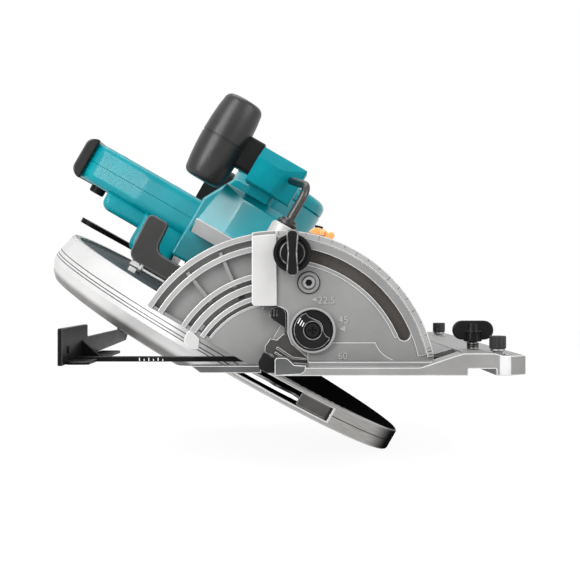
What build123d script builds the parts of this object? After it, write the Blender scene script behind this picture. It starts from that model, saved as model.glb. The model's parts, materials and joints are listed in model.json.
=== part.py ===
"""Cordless circular saw, resting at its full bevel.

Frame: X to the motor side, Y to the rear, Z up. Z = 0 is the sole, X = 0 the cut line and Y = 0 the
blade axle. The saw is drawn upright, and what tilts is turned to its rest bevel when it is written.
"""
import os
from math import asin, atan2, cos, degrees, hypot, pi, radians, sin, sqrt, tan

from build123d import *

os.makedirs("parts", exist_ok=True)

# Fits, in millimetres
FIT = 0.1          # pin or shaft in its hole, on the radius
RUN = 0.3          # faces that pass each other
SEAT = 0.15        # loose piece lying in its pocket

# Blade and drive
BLADE_D = 270.0
BLADE_T = 1.8
BLADE_BORE_D = 30.0
BLADE_TEETH = 40
TOOTH_DEPTH = 7.0
BLADE_X = -4.0
AXLE_Z = 33.0
GEAR_TEETH = 45
PINION_TEETH = 11
GEAR_MODULE = 1.0
GEAR_W = 10.0
MOTOR_LEAN = 15.0
SPINDLE_R = 8.0
SPINDLE_TAIL_R = 6.0
ROTOR_SHAFT_R = 4.0
FLANGE_R = 21.0
FLANGE_T = 3.6

# Guard and blade case
GUARD_GAP = 7.5
GUARD_WALL = 2.5
GUARD_X0 = -12.5
GUARD_W = 17.5
GUARD_HUB_R = 26.6
GUARD_NOSE_DROP = 40.0
CASE_GAP = 1.8
CASE_WALL = 2.8
CASE_CROWN = 3.5
CASE_SIDE = 3.0
CASE_X0 = -25.0
CASE_X1 = 9.5
CASE_SEAM_X = -9.0
CASE_WINDOW_R = 47.0
CASE_BORE_R = 30.0
CASE_TRIM = 1.5

# Bevel
BEVEL_Z = -10.0
BEVEL_REST = 60.0
RIM_R = 99.6
SLOT_R = RIM_R - 14.2
SLOT_W = 5.8
BOLT_R = 2.7
KNOB_A = 24.3
KNOB_R = 12.0
KNOB_T = 7.0
WING_L = 29.0
WING_T = 8.0
WING_H = 6.0

# Base
BASE_NOSE = 30.0
BASE_TAIL = 29.0
BASE_W = 152.0
BASE_T = 5.0
HUMP_X0 = BASE_W - 66
HUMP_X1 = BASE_W - 40
HUMP_X2 = BASE_W - 21
HUMP_H = 13.6
EDGE_X = BASE_W - 15
EDGE_H = 12.0
GROOVE_X0 = BASE_W - 37
GROOVE_X1 = BASE_W - 20
GROOVE_D = 4.3
OPEN_X = 11.5
OPEN_GAP = 3.5

# Angle plates and sectors, front faces nearest the front
PLATE_GAP = 30.9
PLATE_T = 6.0
PLATE_X = 18.0
PLATE_END_X = RIM_R - 2.1
BAR_X0 = -17.0
BAR_X1 = -1.4
BAR_Z0 = 42.0
FOOT_L = 22.0
FOOT_T = 3.0
DIAL_X = 21.2
DIAL_Z = 26.7
DIAL_R = 12.6
DIAL_T = 6.0
STOP_X = 18.8
STOP_Z = 56.6
STOP_R = 6.5
SECTOR_T = 9.6
SECTOR_WEB = 4.0
SECTOR_X0 = 3.0
SECTOR_Z0 = 6.2
REAR_PLATE_GAP = 17.9
REAR_RIM_R = 56.0
REAR_SLOT_R = 45.0
REAR_KNOB_A = 48.0
REAR_X0 = -24.0
REAR_SECTOR_T = 7.0
POINTER_A = 16.0

# Depth pivot and guide
PIVOT_GAP = 9.9
PIVOT_Z = 38.0
PIVOT_ROD_R = 2.8
EAR_X0 = 6.0
EAR_X1 = 66.0
EAR_T = 6.0
EAR_R = 8.0
GUIDE_X = 19.0
GUIDE_T = 4.0
GUIDE_SHORT = 32.2
GUIDE_W = 20.0
GUIDE_SLOT_W = 6.0
GUIDE_BOLT_A = 2.0
DEPTH_RANGE = 30.0

# Fence
FENCE_BAR_GAP = 8.9
FENCE_BAR_W = 11.0
FENCE_BAR_T = 3.0
FENCE_BAR_Z = 5.8
FENCE_X = -131.0
FENCE_T = 3.0
FENCE_REAR = 62.0
FENCE_TALL_L = 91.0
FENCE_TOP = 28.6
FENCE_LOW_TOP = 20.0
WING_SCREW_X = BASE_W - 26.4
WING_SCREW_R = 2.6
SPRING_WIRE = 0.9
SPRING_R = 4.0
SPRING_TURNS = 2.5
SPRING_H = 5.0
ADJUST_X = BASE_W - 15.5
ADJUST_R = 5.2
ADJUST_REAR_Y = 95.0

# Motor
GEARBOX_X1 = 36.0
GEARBOX_WALL = 3.0
MOTOR_R = 37.0
MOTOR_WALL = 3.0
MOTOR_X1 = 118.0
END_CAP_T = 10.0
STATOR_X0 = 44.0
STATOR_L = 46.0
STATOR_R = 32.0
STATOR_BORE_R = 19.0
FAN_X = 96.0
FAN_R = 29.0
BLOCK_X0 = 58.0
BLOCK_X1 = 101.0
BLOCK_Y = -96.0
BLOCK_Z0 = 46.0
BLOCK_Z1 = 100.0
SADDLE_Z = 106.0

# Handle
HANDLE_X0 = 52.0
HANDLE_SEAM_X = 67.0
HANDLE_X1 = 82.5
HANDLE_WALL = 3.2
HANDLE_ROUND = 8.0
LOBE_X0 = 22.0
LOBE_TOP = 139.0
UPPER_LOBE_X0 = 40.0
UPPER_LOBE_TOP = 172.0
TRIGGER_Y0 = 9.0
TRIGGER_L = 26.0
TRIGGER_W = 14.0
TRIGGER_TRAVEL = 5.0
LOCK_R = 6.0
LOCK_Y = -10.0
LOCK_Z = 184.0
LOCK_TRAVEL = 4.0

# Front grip
GRIP_X0 = 92.6
GRIP_X1 = 155.3
GRIP_Y = -115.0
GRIP_Z = 106.5
GRIP_R = 16.3
GRIP_END_R = 12.2
POST_X0 = 107.0
POST_X1 = 134.0
POST_Z0 = 45.0
POST_D = 31.0
POST_FACET = 9.0
NECK_Z0 = 79.0

# Battery
BATTERY_W = 76.0
BATTERY_L = 116.0
BATTERY_H = 60.0
BATTERY_X0 = 44.0
BATTERY_Y0 = 64.0
MOUNT_Z0 = 112.0
MOUNT_T = 10.0
MOUNT_L = 94.0
RAIL_W = 40.0
RAIL_H = 4.0

# Derived places
BLADE_R = BLADE_D / 2
GUARD_IN_R = BLADE_R + GUARD_GAP
GUARD_R = GUARD_IN_R + GUARD_WALL
GUARD_X1 = GUARD_X0 + GUARD_W
CASE_IN_R = GUARD_R + CASE_GAP
CASE_R = CASE_IN_R + CASE_WALL + CASE_CROWN
OPEN_HALF = CASE_R + OPEN_GAP
GEAR_PITCH_R = GEAR_MODULE * GEAR_TEETH / 2
PINION_PITCH_R = GEAR_MODULE * PINION_TEETH / 2
GEAR_CENTRES = GEAR_PITCH_R + PINION_PITCH_R
MOTOR_Y = -GEAR_CENTRES * sin(radians(MOTOR_LEAN))
MOTOR_Z = AXLE_Z + GEAR_CENTRES * cos(radians(MOTOR_LEAN))
PLATE_Y = -(CASE_R + PLATE_GAP)
PLATE_FRONT = PLATE_Y - PLATE_T
BASE_FRONT = PLATE_FRONT - BASE_NOSE
REAR_PLATE_Y = CASE_R + REAR_PLATE_GAP
BASE_REAR = REAR_PLATE_Y + BASE_TAIL
PIVOT_Y = -(CASE_R + PIVOT_GAP)
GUIDE_R = 2 * CASE_R - GUIDE_SHORT
FENCE_BAR_Y = -(CASE_R + FENCE_BAR_GAP + FENCE_BAR_W / 2)
FENCE_FRONT = BASE_FRONT + 1
FENCE_STEP_Y = FENCE_FRONT + FENCE_TALL_L
ADJUST_FRONT_Y = BASE_FRONT + 22
SECTOR_FRONT = PLATE_Y + RUN
SECTOR_BACK = SECTOR_FRONT + SECTOR_T
REAR_SECTOR_BACK = REAR_PLATE_Y - RUN
BEVEL_AXIS = Axis((0, 0, BEVEL_Z), (0, 1, 0))
AXLE = Axis((0, 0, AXLE_Z), (1, 0, 0))
WING_SCREW_SEAT = HUMP_H
BATTERY_X1 = BATTERY_X0 + BATTERY_W
BATTERY_MID_X = BATTERY_X0 + BATTERY_W / 2
HANDLE_FLOOR = MOUNT_Z0 + MOUNT_T


def at_y(y):
    """Plane across the saw: sketch x is X, sketch y is Z, and it extrudes to the front."""
    return Plane.XZ.offset(-y)


def at_x(x):
    """Plane along the saw: sketch x is Y, sketch y is Z, and it extrudes to the motor side."""
    return Plane.YZ.offset(x)


def at_z(z):
    return Plane.XY.offset(z)


def block(x, y, z, mode=Mode.ADD):
    """A box between two values on each axis."""
    with Locations(((x[0] + x[1]) / 2, (y[0] + y[1]) / 2, (z[0] + z[1]) / 2)):
        Box(x[1] - x[0], y[1] - y[0], z[1] - z[0], mode=mode)


def rod(plane, centre, radius, length, mode=Mode.ADD):
    """A round bar that starts on a plane."""
    with BuildSketch(plane) as round_end:
        with Locations(centre):
            Circle(radius)
    extrude(round_end.sketch, amount=length, mode=mode)


def bevel_point(radius, angle):
    """X and Z at an angle from +X about the bevel axis, with the saw upright."""
    return radius * cos(radians(angle)), BEVEL_Z + radius * sin(radians(angle))


def depth_point(radius, angle):
    """Y and Z at an angle from +Y about the depth pivot."""
    return PIVOT_Y + radius * cos(radians(angle)), PIVOT_Z + radius * sin(radians(angle))


def keep(builder, label, tilts=False):
    """Labels and writes a finished piece. A piece that tilts is turned to the rest bevel first."""
    solid = builder.part.rotate(BEVEL_AXIS, -BEVEL_REST) if tilts else builder.part
    solid.label = label
    export_step(solid, f"parts/{label}.step")


# Base plate: an extruded section with the rail groove under its hump, opened for the blade
ADJUSTERS = [ADJUST_FRONT_Y, ADJUST_REAR_Y]
ADJUST_STEM_R = 3.0
ADJUST_STEM_Z = 5.0
POCKET_Y = (PLATE_FRONT - 5, FENCE_BAR_Y + FENCE_BAR_W / 2 + 3)
PLATE_SCREW_XS = [PLATE_X + 12, (PLATE_X + HUMP_X0 + 2) / 2, HUMP_X0 - 10]
PLATE_SCREW_R = 2.5
PLATE_SCREW_HEAD_R = 4.6
PLATE_SCREW_HEAD_T = 2.6
PLATE_SCREW_Y = PLATE_FRONT - FOOT_L / 2 + 2
REAR_SCREW_XS = [22.0, 44.0]
REAR_FOOT_L = 18.0
REAR_PLATE_T = 6.0
REAR_PLATE_BACK = REAR_PLATE_Y + REAR_PLATE_T
REAR_SCREW_Y = REAR_PLATE_BACK + REAR_FOOT_L / 2
PLATE_SCREWS = [(x, PLATE_SCREW_Y) for x in PLATE_SCREW_XS] + [(x, REAR_SCREW_Y) for x in REAR_SCREW_XS]
CORNER_H = 6.0
CORNER_L = 18.0
SPRING_PAD_R = 7.0

with BuildPart() as base_plate:
    with BuildSketch(at_y(BASE_REAR)) as section:
        with BuildLine():
            Polyline(
                (0, 0), (GROOVE_X0, 0), (GROOVE_X0, GROOVE_D), (GROOVE_X1, GROOVE_D), (GROOVE_X1, 0),
                (BASE_W, 0), (BASE_W, EDGE_H), (EDGE_X, EDGE_H), (HUMP_X2, HUMP_H), (HUMP_X1, HUMP_H),
                (HUMP_X0, BASE_T), (0, BASE_T), close=True)
        make_face()
        rise = [v for v in section.vertices() if v.Y > GROOVE_D and HUMP_X0 - 1 < v.X < EDGE_X - 1]
        fillet(rise, radius=(HUMP_X2 - HUMP_X1) * 0.6)
    extrude(amount=BASE_REAR - BASE_FRONT)
    with BuildSketch(at_z(0)) as plan:
        with Locations((0, BASE_FRONT)):
            Rectangle(BASE_W, BASE_REAR - BASE_FRONT, align=(Align.MIN, Align.MIN))
        fillet(plan.vertices().group_by(Axis.X)[-1], radius=7)
        fillet(plan.vertices().group_by(Axis.X)[0], radius=3)
    extrude(amount=HUMP_H, mode=Mode.INTERSECT)
    block((-1, OPEN_X), (-OPEN_HALF, OPEN_HALF), (-1, HUMP_H), mode=Mode.SUBTRACT)
    with BuildSketch(at_y(BASE_FRONT + CORNER_L)):
        with BuildLine():
            Polyline((1.5, BASE_T), (1.5, BASE_T + CORNER_H), (5, BASE_T + CORNER_H), (PLATE_X - 1, BASE_T),
                     close=True)
        make_face()
    extrude(amount=CORNER_L - 4)
    block((HUMP_X0 - 3, HUMP_X1 + 1), POCKET_Y, (BASE_T, HUMP_H + 1), mode=Mode.SUBTRACT)
    rod(at_z(WING_SCREW_SEAT - 3), (WING_SCREW_X, FENCE_BAR_Y), SPRING_PAD_R, 3)
    bar_slot_y = (FENCE_BAR_Y - FENCE_BAR_W / 2 - SEAT, FENCE_BAR_Y + FENCE_BAR_W / 2 + SEAT)
    bar_slot_z = (FENCE_BAR_Z - SEAT, FENCE_BAR_Z + FENCE_BAR_T + SEAT)
    block((HUMP_X0 - 5, BASE_W + 1), bar_slot_y, bar_slot_z, mode=Mode.SUBTRACT)
    rod(at_z(FENCE_BAR_Z), (WING_SCREW_X, FENCE_BAR_Y), WING_SCREW_R + FIT, HUMP_H, mode=Mode.SUBTRACT)
    for y in ADJUSTERS:
        rod(at_z(ADJUST_STEM_Z - FIT), (ADJUST_X, y), ADJUST_STEM_R + FIT, HUMP_H, mode=Mode.SUBTRACT)
    for place in PLATE_SCREWS:
        rod(at_z(-1), place, PLATE_SCREW_R, BASE_T + 2, mode=Mode.SUBTRACT)
        rod(at_z(-1), place, PLATE_SCREW_HEAD_R + FIT, PLATE_SCREW_HEAD_T + 1.4, mode=Mode.SUBTRACT)
keep(base_plate, "base_plate")

# Front angle plate: a fixed quadrant with the curved slot, the dial's ring and a foot on the base
DIAL_RING = 1.9
DIAL_RING_H = 5.0
DIAL_SEAT = PLATE_FRONT
STOP_RIM_H = 2.0
STOP_HEAD_R = 4.2
STOP_STEM_R = 2.6
RIM_BAND = 7.5
RIM_RAISE = 1.6
BAR_RAISE = 2.5
STEP_Z = 19.0
STEP_RAISE = 1.2
KNOB_PAD_R = 18.0
DIAL_STEM_R = 2.2
knob_x, knob_z = bevel_point(SLOT_R, KNOB_A)
slot_line = CenterArc((0, BEVEL_Z), SLOT_R, KNOB_A - 1, BEVEL_REST + 2)
with BuildPart() as front_angle_plate:
    with BuildSketch(at_y(PLATE_Y)) as quadrant:
        with Locations((0, BEVEL_Z)):
            Circle(RIM_R)
        with Locations((BAR_X0, BASE_T)):
            Rectangle(PLATE_END_X - BAR_X0, RIM_R, align=(Align.MIN, Align.MIN), mode=Mode.INTERSECT)
        with BuildLine():
            Polyline((BAR_X0 - 1, BASE_T - 1), (PLATE_X, BASE_T - 1), (PLATE_X, 9), (DIAL_X - 13.5, 18),
                     (DIAL_X - 15.8, 24), (DIAL_X - 15.8, BAR_Z0 - 3), (BAR_X1, BAR_Z0),
                     (BAR_X0 - 1, BAR_Z0), close=True)
        make_face(mode=Mode.SUBTRACT)
    extrude(amount=PLATE_T)
    with BuildSketch(at_y(PLATE_FRONT)):
        with Locations((0, BEVEL_Z)):
            Circle(RIM_R)
            Circle(RIM_R - RIM_BAND, mode=Mode.SUBTRACT)
        with Locations((BAR_X1, BASE_T + FOOT_T)):
            Rectangle(PLATE_END_X - BAR_X1, RIM_R, align=(Align.MIN, Align.MIN), mode=Mode.INTERSECT)
    extrude(amount=RIM_RAISE)
    with BuildSketch(at_y(PLATE_FRONT)):
        with Locations((0, BEVEL_Z)):
            Circle(RIM_R - RIM_BAND / 3)
        with Locations((BAR_X0, BAR_Z0)):
            Rectangle(BAR_X1 - BAR_X0, RIM_R, align=(Align.MIN, Align.MIN), mode=Mode.INTERSECT)
    extrude(amount=BAR_RAISE)
    with BuildSketch(at_y(PLATE_FRONT)):
        with Locations((PLATE_X, BASE_T)):
            Rectangle(knob_x + 6 - PLATE_X, STEP_Z - BASE_T, align=(Align.MIN, Align.MIN))
        with Locations((knob_x, knob_z)):
            Circle(KNOB_PAD_R, mode=Mode.SUBTRACT)
        with Locations((DIAL_X, DIAL_Z)):
            Circle(DIAL_R + DIAL_RING, mode=Mode.SUBTRACT)
    extrude(amount=STEP_RAISE)
    block((PLATE_X, HUMP_X0 - 4), (PLATE_FRONT - FOOT_L, PLATE_FRONT), (BASE_T, BASE_T + FOOT_T))
    with BuildSketch(at_y(PLATE_FRONT)):
        with Locations((DIAL_X, DIAL_Z)):
            Circle(DIAL_R + DIAL_RING)
            Circle(DIAL_R + RUN, mode=Mode.SUBTRACT)
    extrude(amount=DIAL_RING_H)
    with BuildSketch(at_y(PLATE_FRONT)):
        with Locations((STOP_X, STOP_Z)):
            Circle(STOP_R)
            Circle(STOP_HEAD_R + SEAT, mode=Mode.SUBTRACT)
    extrude(amount=STOP_RIM_H)
    with BuildSketch(at_y(PLATE_Y)):
        SlotArc(slot_line, SLOT_W)
    extrude(amount=PLATE_T + RIM_RAISE, mode=Mode.SUBTRACT)
    rod(at_y(PLATE_Y), (STOP_X, STOP_Z), STOP_STEM_R, PLATE_T, mode=Mode.SUBTRACT)
    rod(at_y(PLATE_Y), (DIAL_X, DIAL_Z), DIAL_STEM_R, PLATE_T, mode=Mode.SUBTRACT)
    for x in PLATE_SCREW_XS:
        rod(at_z(BASE_T), (x, PLATE_SCREW_Y), PLATE_SCREW_R, FOOT_T - 1, mode=Mode.SUBTRACT)
keep(front_angle_plate, "front_angle_plate")

# Rear angle plate: the plain quadrant at the back of the base
rear_slot_line = CenterArc((0, BEVEL_Z), REAR_SLOT_R, REAR_KNOB_A - 1, BEVEL_REST + 2)
with BuildPart() as rear_angle_plate:
    with BuildSketch(at_y(REAR_PLATE_BACK)):
        with Locations((0, BEVEL_Z)):
            Circle(REAR_RIM_R)
        with Locations((REAR_X0, BASE_T)):
            Rectangle(REAR_RIM_R - REAR_X0, REAR_RIM_R, align=(Align.MIN, Align.MIN), mode=Mode.INTERSECT)
        with Locations((REAR_X0 - 1, BASE_T - 1)):
            Rectangle(PLATE_X - REAR_X0, 14, align=(Align.MIN, Align.MIN), mode=Mode.SUBTRACT)
    extrude(amount=REAR_PLATE_T)
    foot_x1 = sqrt(REAR_RIM_R**2 - (BASE_T - BEVEL_Z + FOOT_T)**2)
    block((PLATE_X - 1, foot_x1), (REAR_PLATE_BACK, REAR_PLATE_BACK + REAR_FOOT_L), (BASE_T, BASE_T + FOOT_T))
    with BuildSketch(at_y(REAR_PLATE_BACK)):
        SlotArc(rear_slot_line, SLOT_W)
    extrude(amount=REAR_PLATE_T, mode=Mode.SUBTRACT)
    for x in REAR_SCREW_XS:
        rod(at_z(BASE_T), (x, REAR_SCREW_Y), PLATE_SCREW_R, FOOT_T - 1, mode=Mode.SUBTRACT)
keep(rear_angle_plate, "rear_angle_plate")

# Screws that hold both angle plates, from under the sole
with BuildPart() as plate_screws:
    for place in PLATE_SCREWS:
        rod(at_z(PLATE_SCREW_HEAD_T + 0.4), place, PLATE_SCREW_R, BASE_T - PLATE_SCREW_HEAD_T)
        rod(at_z(0.4), place, PLATE_SCREW_HEAD_R, PLATE_SCREW_HEAD_T)
        rod(at_z(0.4), place, 1.8, 1.6, mode=Mode.SUBTRACT)
keep(plate_screws, "plate_screws")

# Stop dial: a disc whose raised side ends in an S-shaped finger edge, on its cross-head screw
HUB_R = 4.6
with BuildPart() as stop_dial:
    rod(at_y(DIAL_SEAT), (DIAL_X, DIAL_Z), DIAL_R, DIAL_T - 2.5)
    with BuildSketch(at_y(DIAL_SEAT - DIAL_T + 2.5)):
        with Locations((DIAL_X, DIAL_Z)):
            Circle(DIAL_R - 0.6)
        with BuildLine():
            finger = Spline((DIAL_X - 4.5, DIAL_Z + DIAL_R), (DIAL_X + 1, DIAL_Z + 7),
                            (DIAL_X + 6.8, DIAL_Z + 1), (DIAL_X + 10.5, DIAL_Z - DIAL_R + 3))
            Polyline(finger @ 1, (DIAL_X + 2 * DIAL_R, DIAL_Z - DIAL_R), (DIAL_X + 2 * DIAL_R, DIAL_Z + 2 * DIAL_R),
                     finger @ 0)
        make_face(mode=Mode.SUBTRACT)
    extrude(amount=2.5)
    rod(at_y(DIAL_SEAT), (DIAL_X, DIAL_Z), HUB_R + SEAT, DIAL_T, mode=Mode.SUBTRACT)
keep(stop_dial, "stop_dial")

with BuildPart() as dial_screw:
    rod(at_y(DIAL_SEAT), (DIAL_X, DIAL_Z), HUB_R, DIAL_T - 1)
    rod(at_y(PLATE_Y), (DIAL_X, DIAL_Z), DIAL_STEM_R, PLATE_T)
    for across in [(5.0, 1.2), (1.2, 5.0)]:
        with BuildSketch(at_y(DIAL_SEAT - DIAL_T + 1)):
            with Locations((DIAL_X, DIAL_Z)):
                Rectangle(*across)
        extrude(amount=-1.6, mode=Mode.SUBTRACT)
keep(dial_screw, "dial_screw")

with BuildPart() as stop_screw:
    rod(at_y(PLATE_Y), (STOP_X, STOP_Z), STOP_STEM_R, PLATE_T)
    rod(at_y(PLATE_FRONT), (STOP_X, STOP_Z), STOP_HEAD_R, STOP_RIM_H + 0.8)
    with BuildSketch(at_y(PLATE_FRONT - STOP_RIM_H - 0.8)):
        with Locations((STOP_X, STOP_Z)):
            RegularPolygon(radius=2.3, side_count=6)
    extrude(amount=-2.2, mode=Mode.SUBTRACT)
keep(stop_screw, "stop_screw")

# Rip fence: a flat bar across the base and a long guide plate standing on its edge
FENCE_BAR_END = BASE_W - 3
FENCE_FLANGE_W = 14.0
with BuildPart() as rip_fence:
    bar_y = (FENCE_BAR_Y - FENCE_BAR_W / 2, FENCE_BAR_Y + FENCE_BAR_W / 2)
    bar_z = (FENCE_BAR_Z, FENCE_BAR_Z + FENCE_BAR_T)
    block((FENCE_X - FENCE_T, FENCE_BAR_END), bar_y, bar_z)
    with BuildSketch(at_x(FENCE_X - FENCE_T)) as guide_face:
        with BuildLine():
            Polyline((FENCE_FRONT, FENCE_BAR_Z), (FENCE_REAR, FENCE_BAR_Z + 4), (FENCE_REAR + 14, FENCE_BAR_Z + 10),
                     (FENCE_REAR - 4, FENCE_LOW_TOP), (FENCE_STEP_Y, FENCE_LOW_TOP), (FENCE_STEP_Y, FENCE_TOP),
                     (FENCE_FRONT, FENCE_TOP), close=True)
        make_face()
        fillet(guide_face.vertices().sort_by(Axis.X)[:2].sort_by(Axis.Y)[0], radius=5)
    extrude(amount=FENCE_T)
    block((FENCE_X, FENCE_X + FENCE_FLANGE_W), (FENCE_FRONT + 12, FENCE_STEP_Y + 60), (FENCE_BAR_Z, FENCE_BAR_Z + 2))
    with BuildSketch(at_z(FENCE_BAR_Z)):
        with BuildLine():
            Polyline((FENCE_X, bar_y[1]), (FENCE_X + 46, bar_y[1]), (FENCE_X, bar_y[1] + 60), close=True)
        make_face()
    extrude(amount=2)
    rod(at_x(FENCE_X - FENCE_T), (FENCE_FRONT + 9, FENCE_BAR_Z + 9), 2.6, FENCE_T + 1.2)
keep(rip_fence, "rip_fence")

# Fence wing screw: threaded stem, cone and two flat wings
CONE_Z0 = WING_SCREW_SEAT + SPRING_H
CONE_H = 12.0
with BuildPart() as fence_wing_screw:
    stem_z = FENCE_BAR_Z + FENCE_BAR_T + 2 * SEAT
    rod(at_z(stem_z), (WING_SCREW_X, FENCE_BAR_Y), WING_SCREW_R, CONE_Z0 - stem_z + 1)
    with Locations((WING_SCREW_X, FENCE_BAR_Y, CONE_Z0 + CONE_H / 2)):
        Cone(5.8, 4.2, CONE_H)
    with BuildSketch(at_y(FENCE_BAR_Y + 2.6)):
        with Locations((WING_SCREW_X, CONE_Z0 + 7.4)):
            SlotOverall(26.5, 12.5)
    extrude(amount=5.2)
keep(fence_wing_screw, "fence_wing_screw")


def helix_point(turn):
    """A point and the direction of the fence spring's wire, at a number of turns."""
    angle = 2 * pi * turn
    rise = (SPRING_H - SPRING_WIRE - 2 * RUN) / SPRING_TURNS
    z = WING_SCREW_SEAT + RUN + SPRING_WIRE / 2 + rise * turn
    point = Vector(WING_SCREW_X + SPRING_R * cos(angle), FENCE_BAR_Y + SPRING_R * sin(angle), z)
    along = Vector(-2 * pi * SPRING_R * sin(angle), 2 * pi * SPRING_R * cos(angle), rise).normalized()
    return point, along


def biarc_joint(start, start_dir, end, end_dir):
    """Where two arcs that are tangent to each other and to both ends meet."""
    chord = end - start
    both = start_dir + end_dir
    lean = 2 * (1 - start_dir.dot(end_dir))
    reach = (sqrt(chord.dot(both)**2 + lean * chord.dot(chord)) - chord.dot(both)) / lean
    near = start + start_dir * reach
    far = end - end_dir * reach
    return (near + far) * 0.5, far - near


# Fence spring: one wire in quarter-turn pairs of arcs, its ends straight for one wire diameter
quarter_turns = [step / 4 for step in range(int(SPRING_TURNS * 4) + 1)]
with BuildPart() as fence_spring:
    with BuildLine() as wire:
        first, first_dir = helix_point(quarter_turns[0])
        Line(first - first_dir * SPRING_WIRE, first)
        for turn, after in zip(quarter_turns, quarter_turns[1:]):
            start, start_dir = helix_point(turn)
            end, end_dir = helix_point(after)
            joint, joint_dir = biarc_joint(start, start_dir, end, end_dir)
            TangentArc(start, joint, tangent=start_dir)
            TangentArc(joint, end, tangent=joint_dir)
        Line(end, end + end_dir * SPRING_WIRE)
    with BuildSketch(Plane(origin=first - first_dir * SPRING_WIRE, z_dir=first_dir)):
        Circle(SPRING_WIRE / 2)
    sweep()
keep(fence_spring, "fence_spring")
wire_points = [helix_point(step / 60)[0] for step in range(int(SPRING_TURNS * 60) + 1)]
least_gap = min((wire_points[i] - wire_points[j]).length - SPRING_WIRE
                for i in range(len(wire_points)) for j in range(i + 40, len(wire_points)))
print(f"fence spring: least gap to itself {least_gap:.2f} mm")


ADJUST_SEAT = HUMP_H + RUN
ADJUST_H = 8.0


def rail_adjuster(y):
    """A knurled knob on a cam stem that takes up play on a guide rail."""
    with BuildPart() as adjuster:
        rod(at_z(ADJUST_STEM_Z), (ADJUST_X, y), ADJUST_STEM_R, ADJUST_SEAT + 2 - ADJUST_STEM_Z)
        rod(at_z(ADJUST_SEAT), (ADJUST_X, y), ADJUST_R - 1.4, 2)
        rod(at_z(ADJUST_SEAT + 1.6), (ADJUST_X, y), ADJUST_R, ADJUST_H)
        with BuildSketch(at_z(ADJUST_SEAT + 1.6)):
            with Locations((ADJUST_X, y)):
                with PolarLocations(ADJUST_R + 0.25, 16):
                    Circle(0.7)
        extrude(amount=ADJUST_H, mode=Mode.SUBTRACT)
        with BuildSketch(at_z(ADJUST_SEAT + 1.6 + ADJUST_H)):
            with Locations((ADJUST_X, y)):
                Rectangle(ADJUST_R * 1.4, 1.4)
        extrude(amount=-1.5, mode=Mode.SUBTRACT)
    return adjuster


keep(rail_adjuster(ADJUST_FRONT_Y), "rail_adjuster_front")
keep(rail_adjuster(ADJUST_REAR_Y), "rail_adjuster_rear")

# Tilting front sector: a ribbed quadrant with two ears that carry the depth pivot
RIB_ANGLES = [53.6, 68.6]
RIB_BANDS = [(RIM_R - a, RIM_R - b) for a, b in [(4.4, 0.6), (12, 8.4), (29, 25.8), (34.4, 32), (42.6, 39.6)]]
DETENT_ANGLES = [30.0, 52.5, 67.5, 82.5]
INNER_R = RIM_R - 46.6
POINTER_R = RIM_R - 0.6


def quadrant_region(outer_r, x0):
    """The part of a disc about the bevel axis that clears the base when the saw is upright."""
    with Locations((0, BEVEL_Z)):
        Circle(outer_r)
    with Locations((x0, SECTOR_Z0)):
        Rectangle(outer_r, outer_r, align=(Align.MIN, Align.MIN), mode=Mode.INTERSECT)


with BuildPart() as front_sector:
    with BuildSketch(at_y(SECTOR_BACK)):
        quadrant_region(POINTER_R, SECTOR_X0)
    extrude(amount=SECTOR_WEB)
    for inner, outer in RIB_BANDS:
        with BuildSketch(at_y(SECTOR_BACK - SECTOR_WEB)):
            quadrant_region(outer, SECTOR_X0)
            with Locations((0, BEVEL_Z)):
                Circle(inner, mode=Mode.SUBTRACT)
        extrude(amount=SECTOR_T - SECTOR_WEB)
    with BuildSketch(at_y(SECTOR_BACK - SECTOR_WEB)):
        quadrant_region(INNER_R, SECTOR_X0)
    extrude(amount=SECTOR_T - SECTOR_WEB - 1.6)
    with BuildSketch(at_y(SECTOR_BACK - SECTOR_WEB)):
        for angle in RIB_ANGLES:
            with Locations(Location((*bevel_point(RIM_R - 18.1, angle), 0), (0, 0, angle))):
                Rectangle(24, 2.2)
        quadrant_edge = (SECTOR_X0, BEVEL_Z + INNER_R)
        with Locations(quadrant_edge):
            Rectangle(2.4, POINTER_R - INNER_R - 2, align=(Align.MIN, Align.MIN))
    extrude(amount=SECTOR_T - SECTOR_WEB - 1)
    with BuildSketch(at_y(SECTOR_BACK - SECTOR_WEB)):
        with Locations((knob_x, knob_z)):
            Circle(9)
    extrude(amount=SECTOR_T - SECTOR_WEB)
    with BuildSketch(at_y(SECTOR_BACK)):
        for angle in DETENT_ANGLES:
            with Locations(Location((*bevel_point(RIM_R - 37.2, angle), 0), (0, 0, angle))):
                Rectangle(2.4, 4.5)
    extrude(amount=SECTOR_WEB, mode=Mode.SUBTRACT)
    for ear_x in [EAR_X0, EAR_X1]:
        with BuildSketch(at_x(ear_x)):
            with Locations((PIVOT_Y, PIVOT_Z)):
                Circle(EAR_R)
            with Locations((SECTOR_BACK, PIVOT_Z)):
                Rectangle(PIVOT_Y - SECTOR_BACK, 2 * EAR_R, align=(Align.MIN, Align.CENTER))
        extrude(amount=EAR_T)
    rod(at_x(EAR_X0), (PIVOT_Y, PIVOT_Z), PIVOT_ROD_R + FIT, EAR_X1 + EAR_T - EAR_X0, mode=Mode.SUBTRACT)
    rod(at_y(SECTOR_BACK), (knob_x, knob_z), BOLT_R, SECTOR_T, mode=Mode.SUBTRACT)
keep(front_sector, "front_sector", tilts=True)

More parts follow.
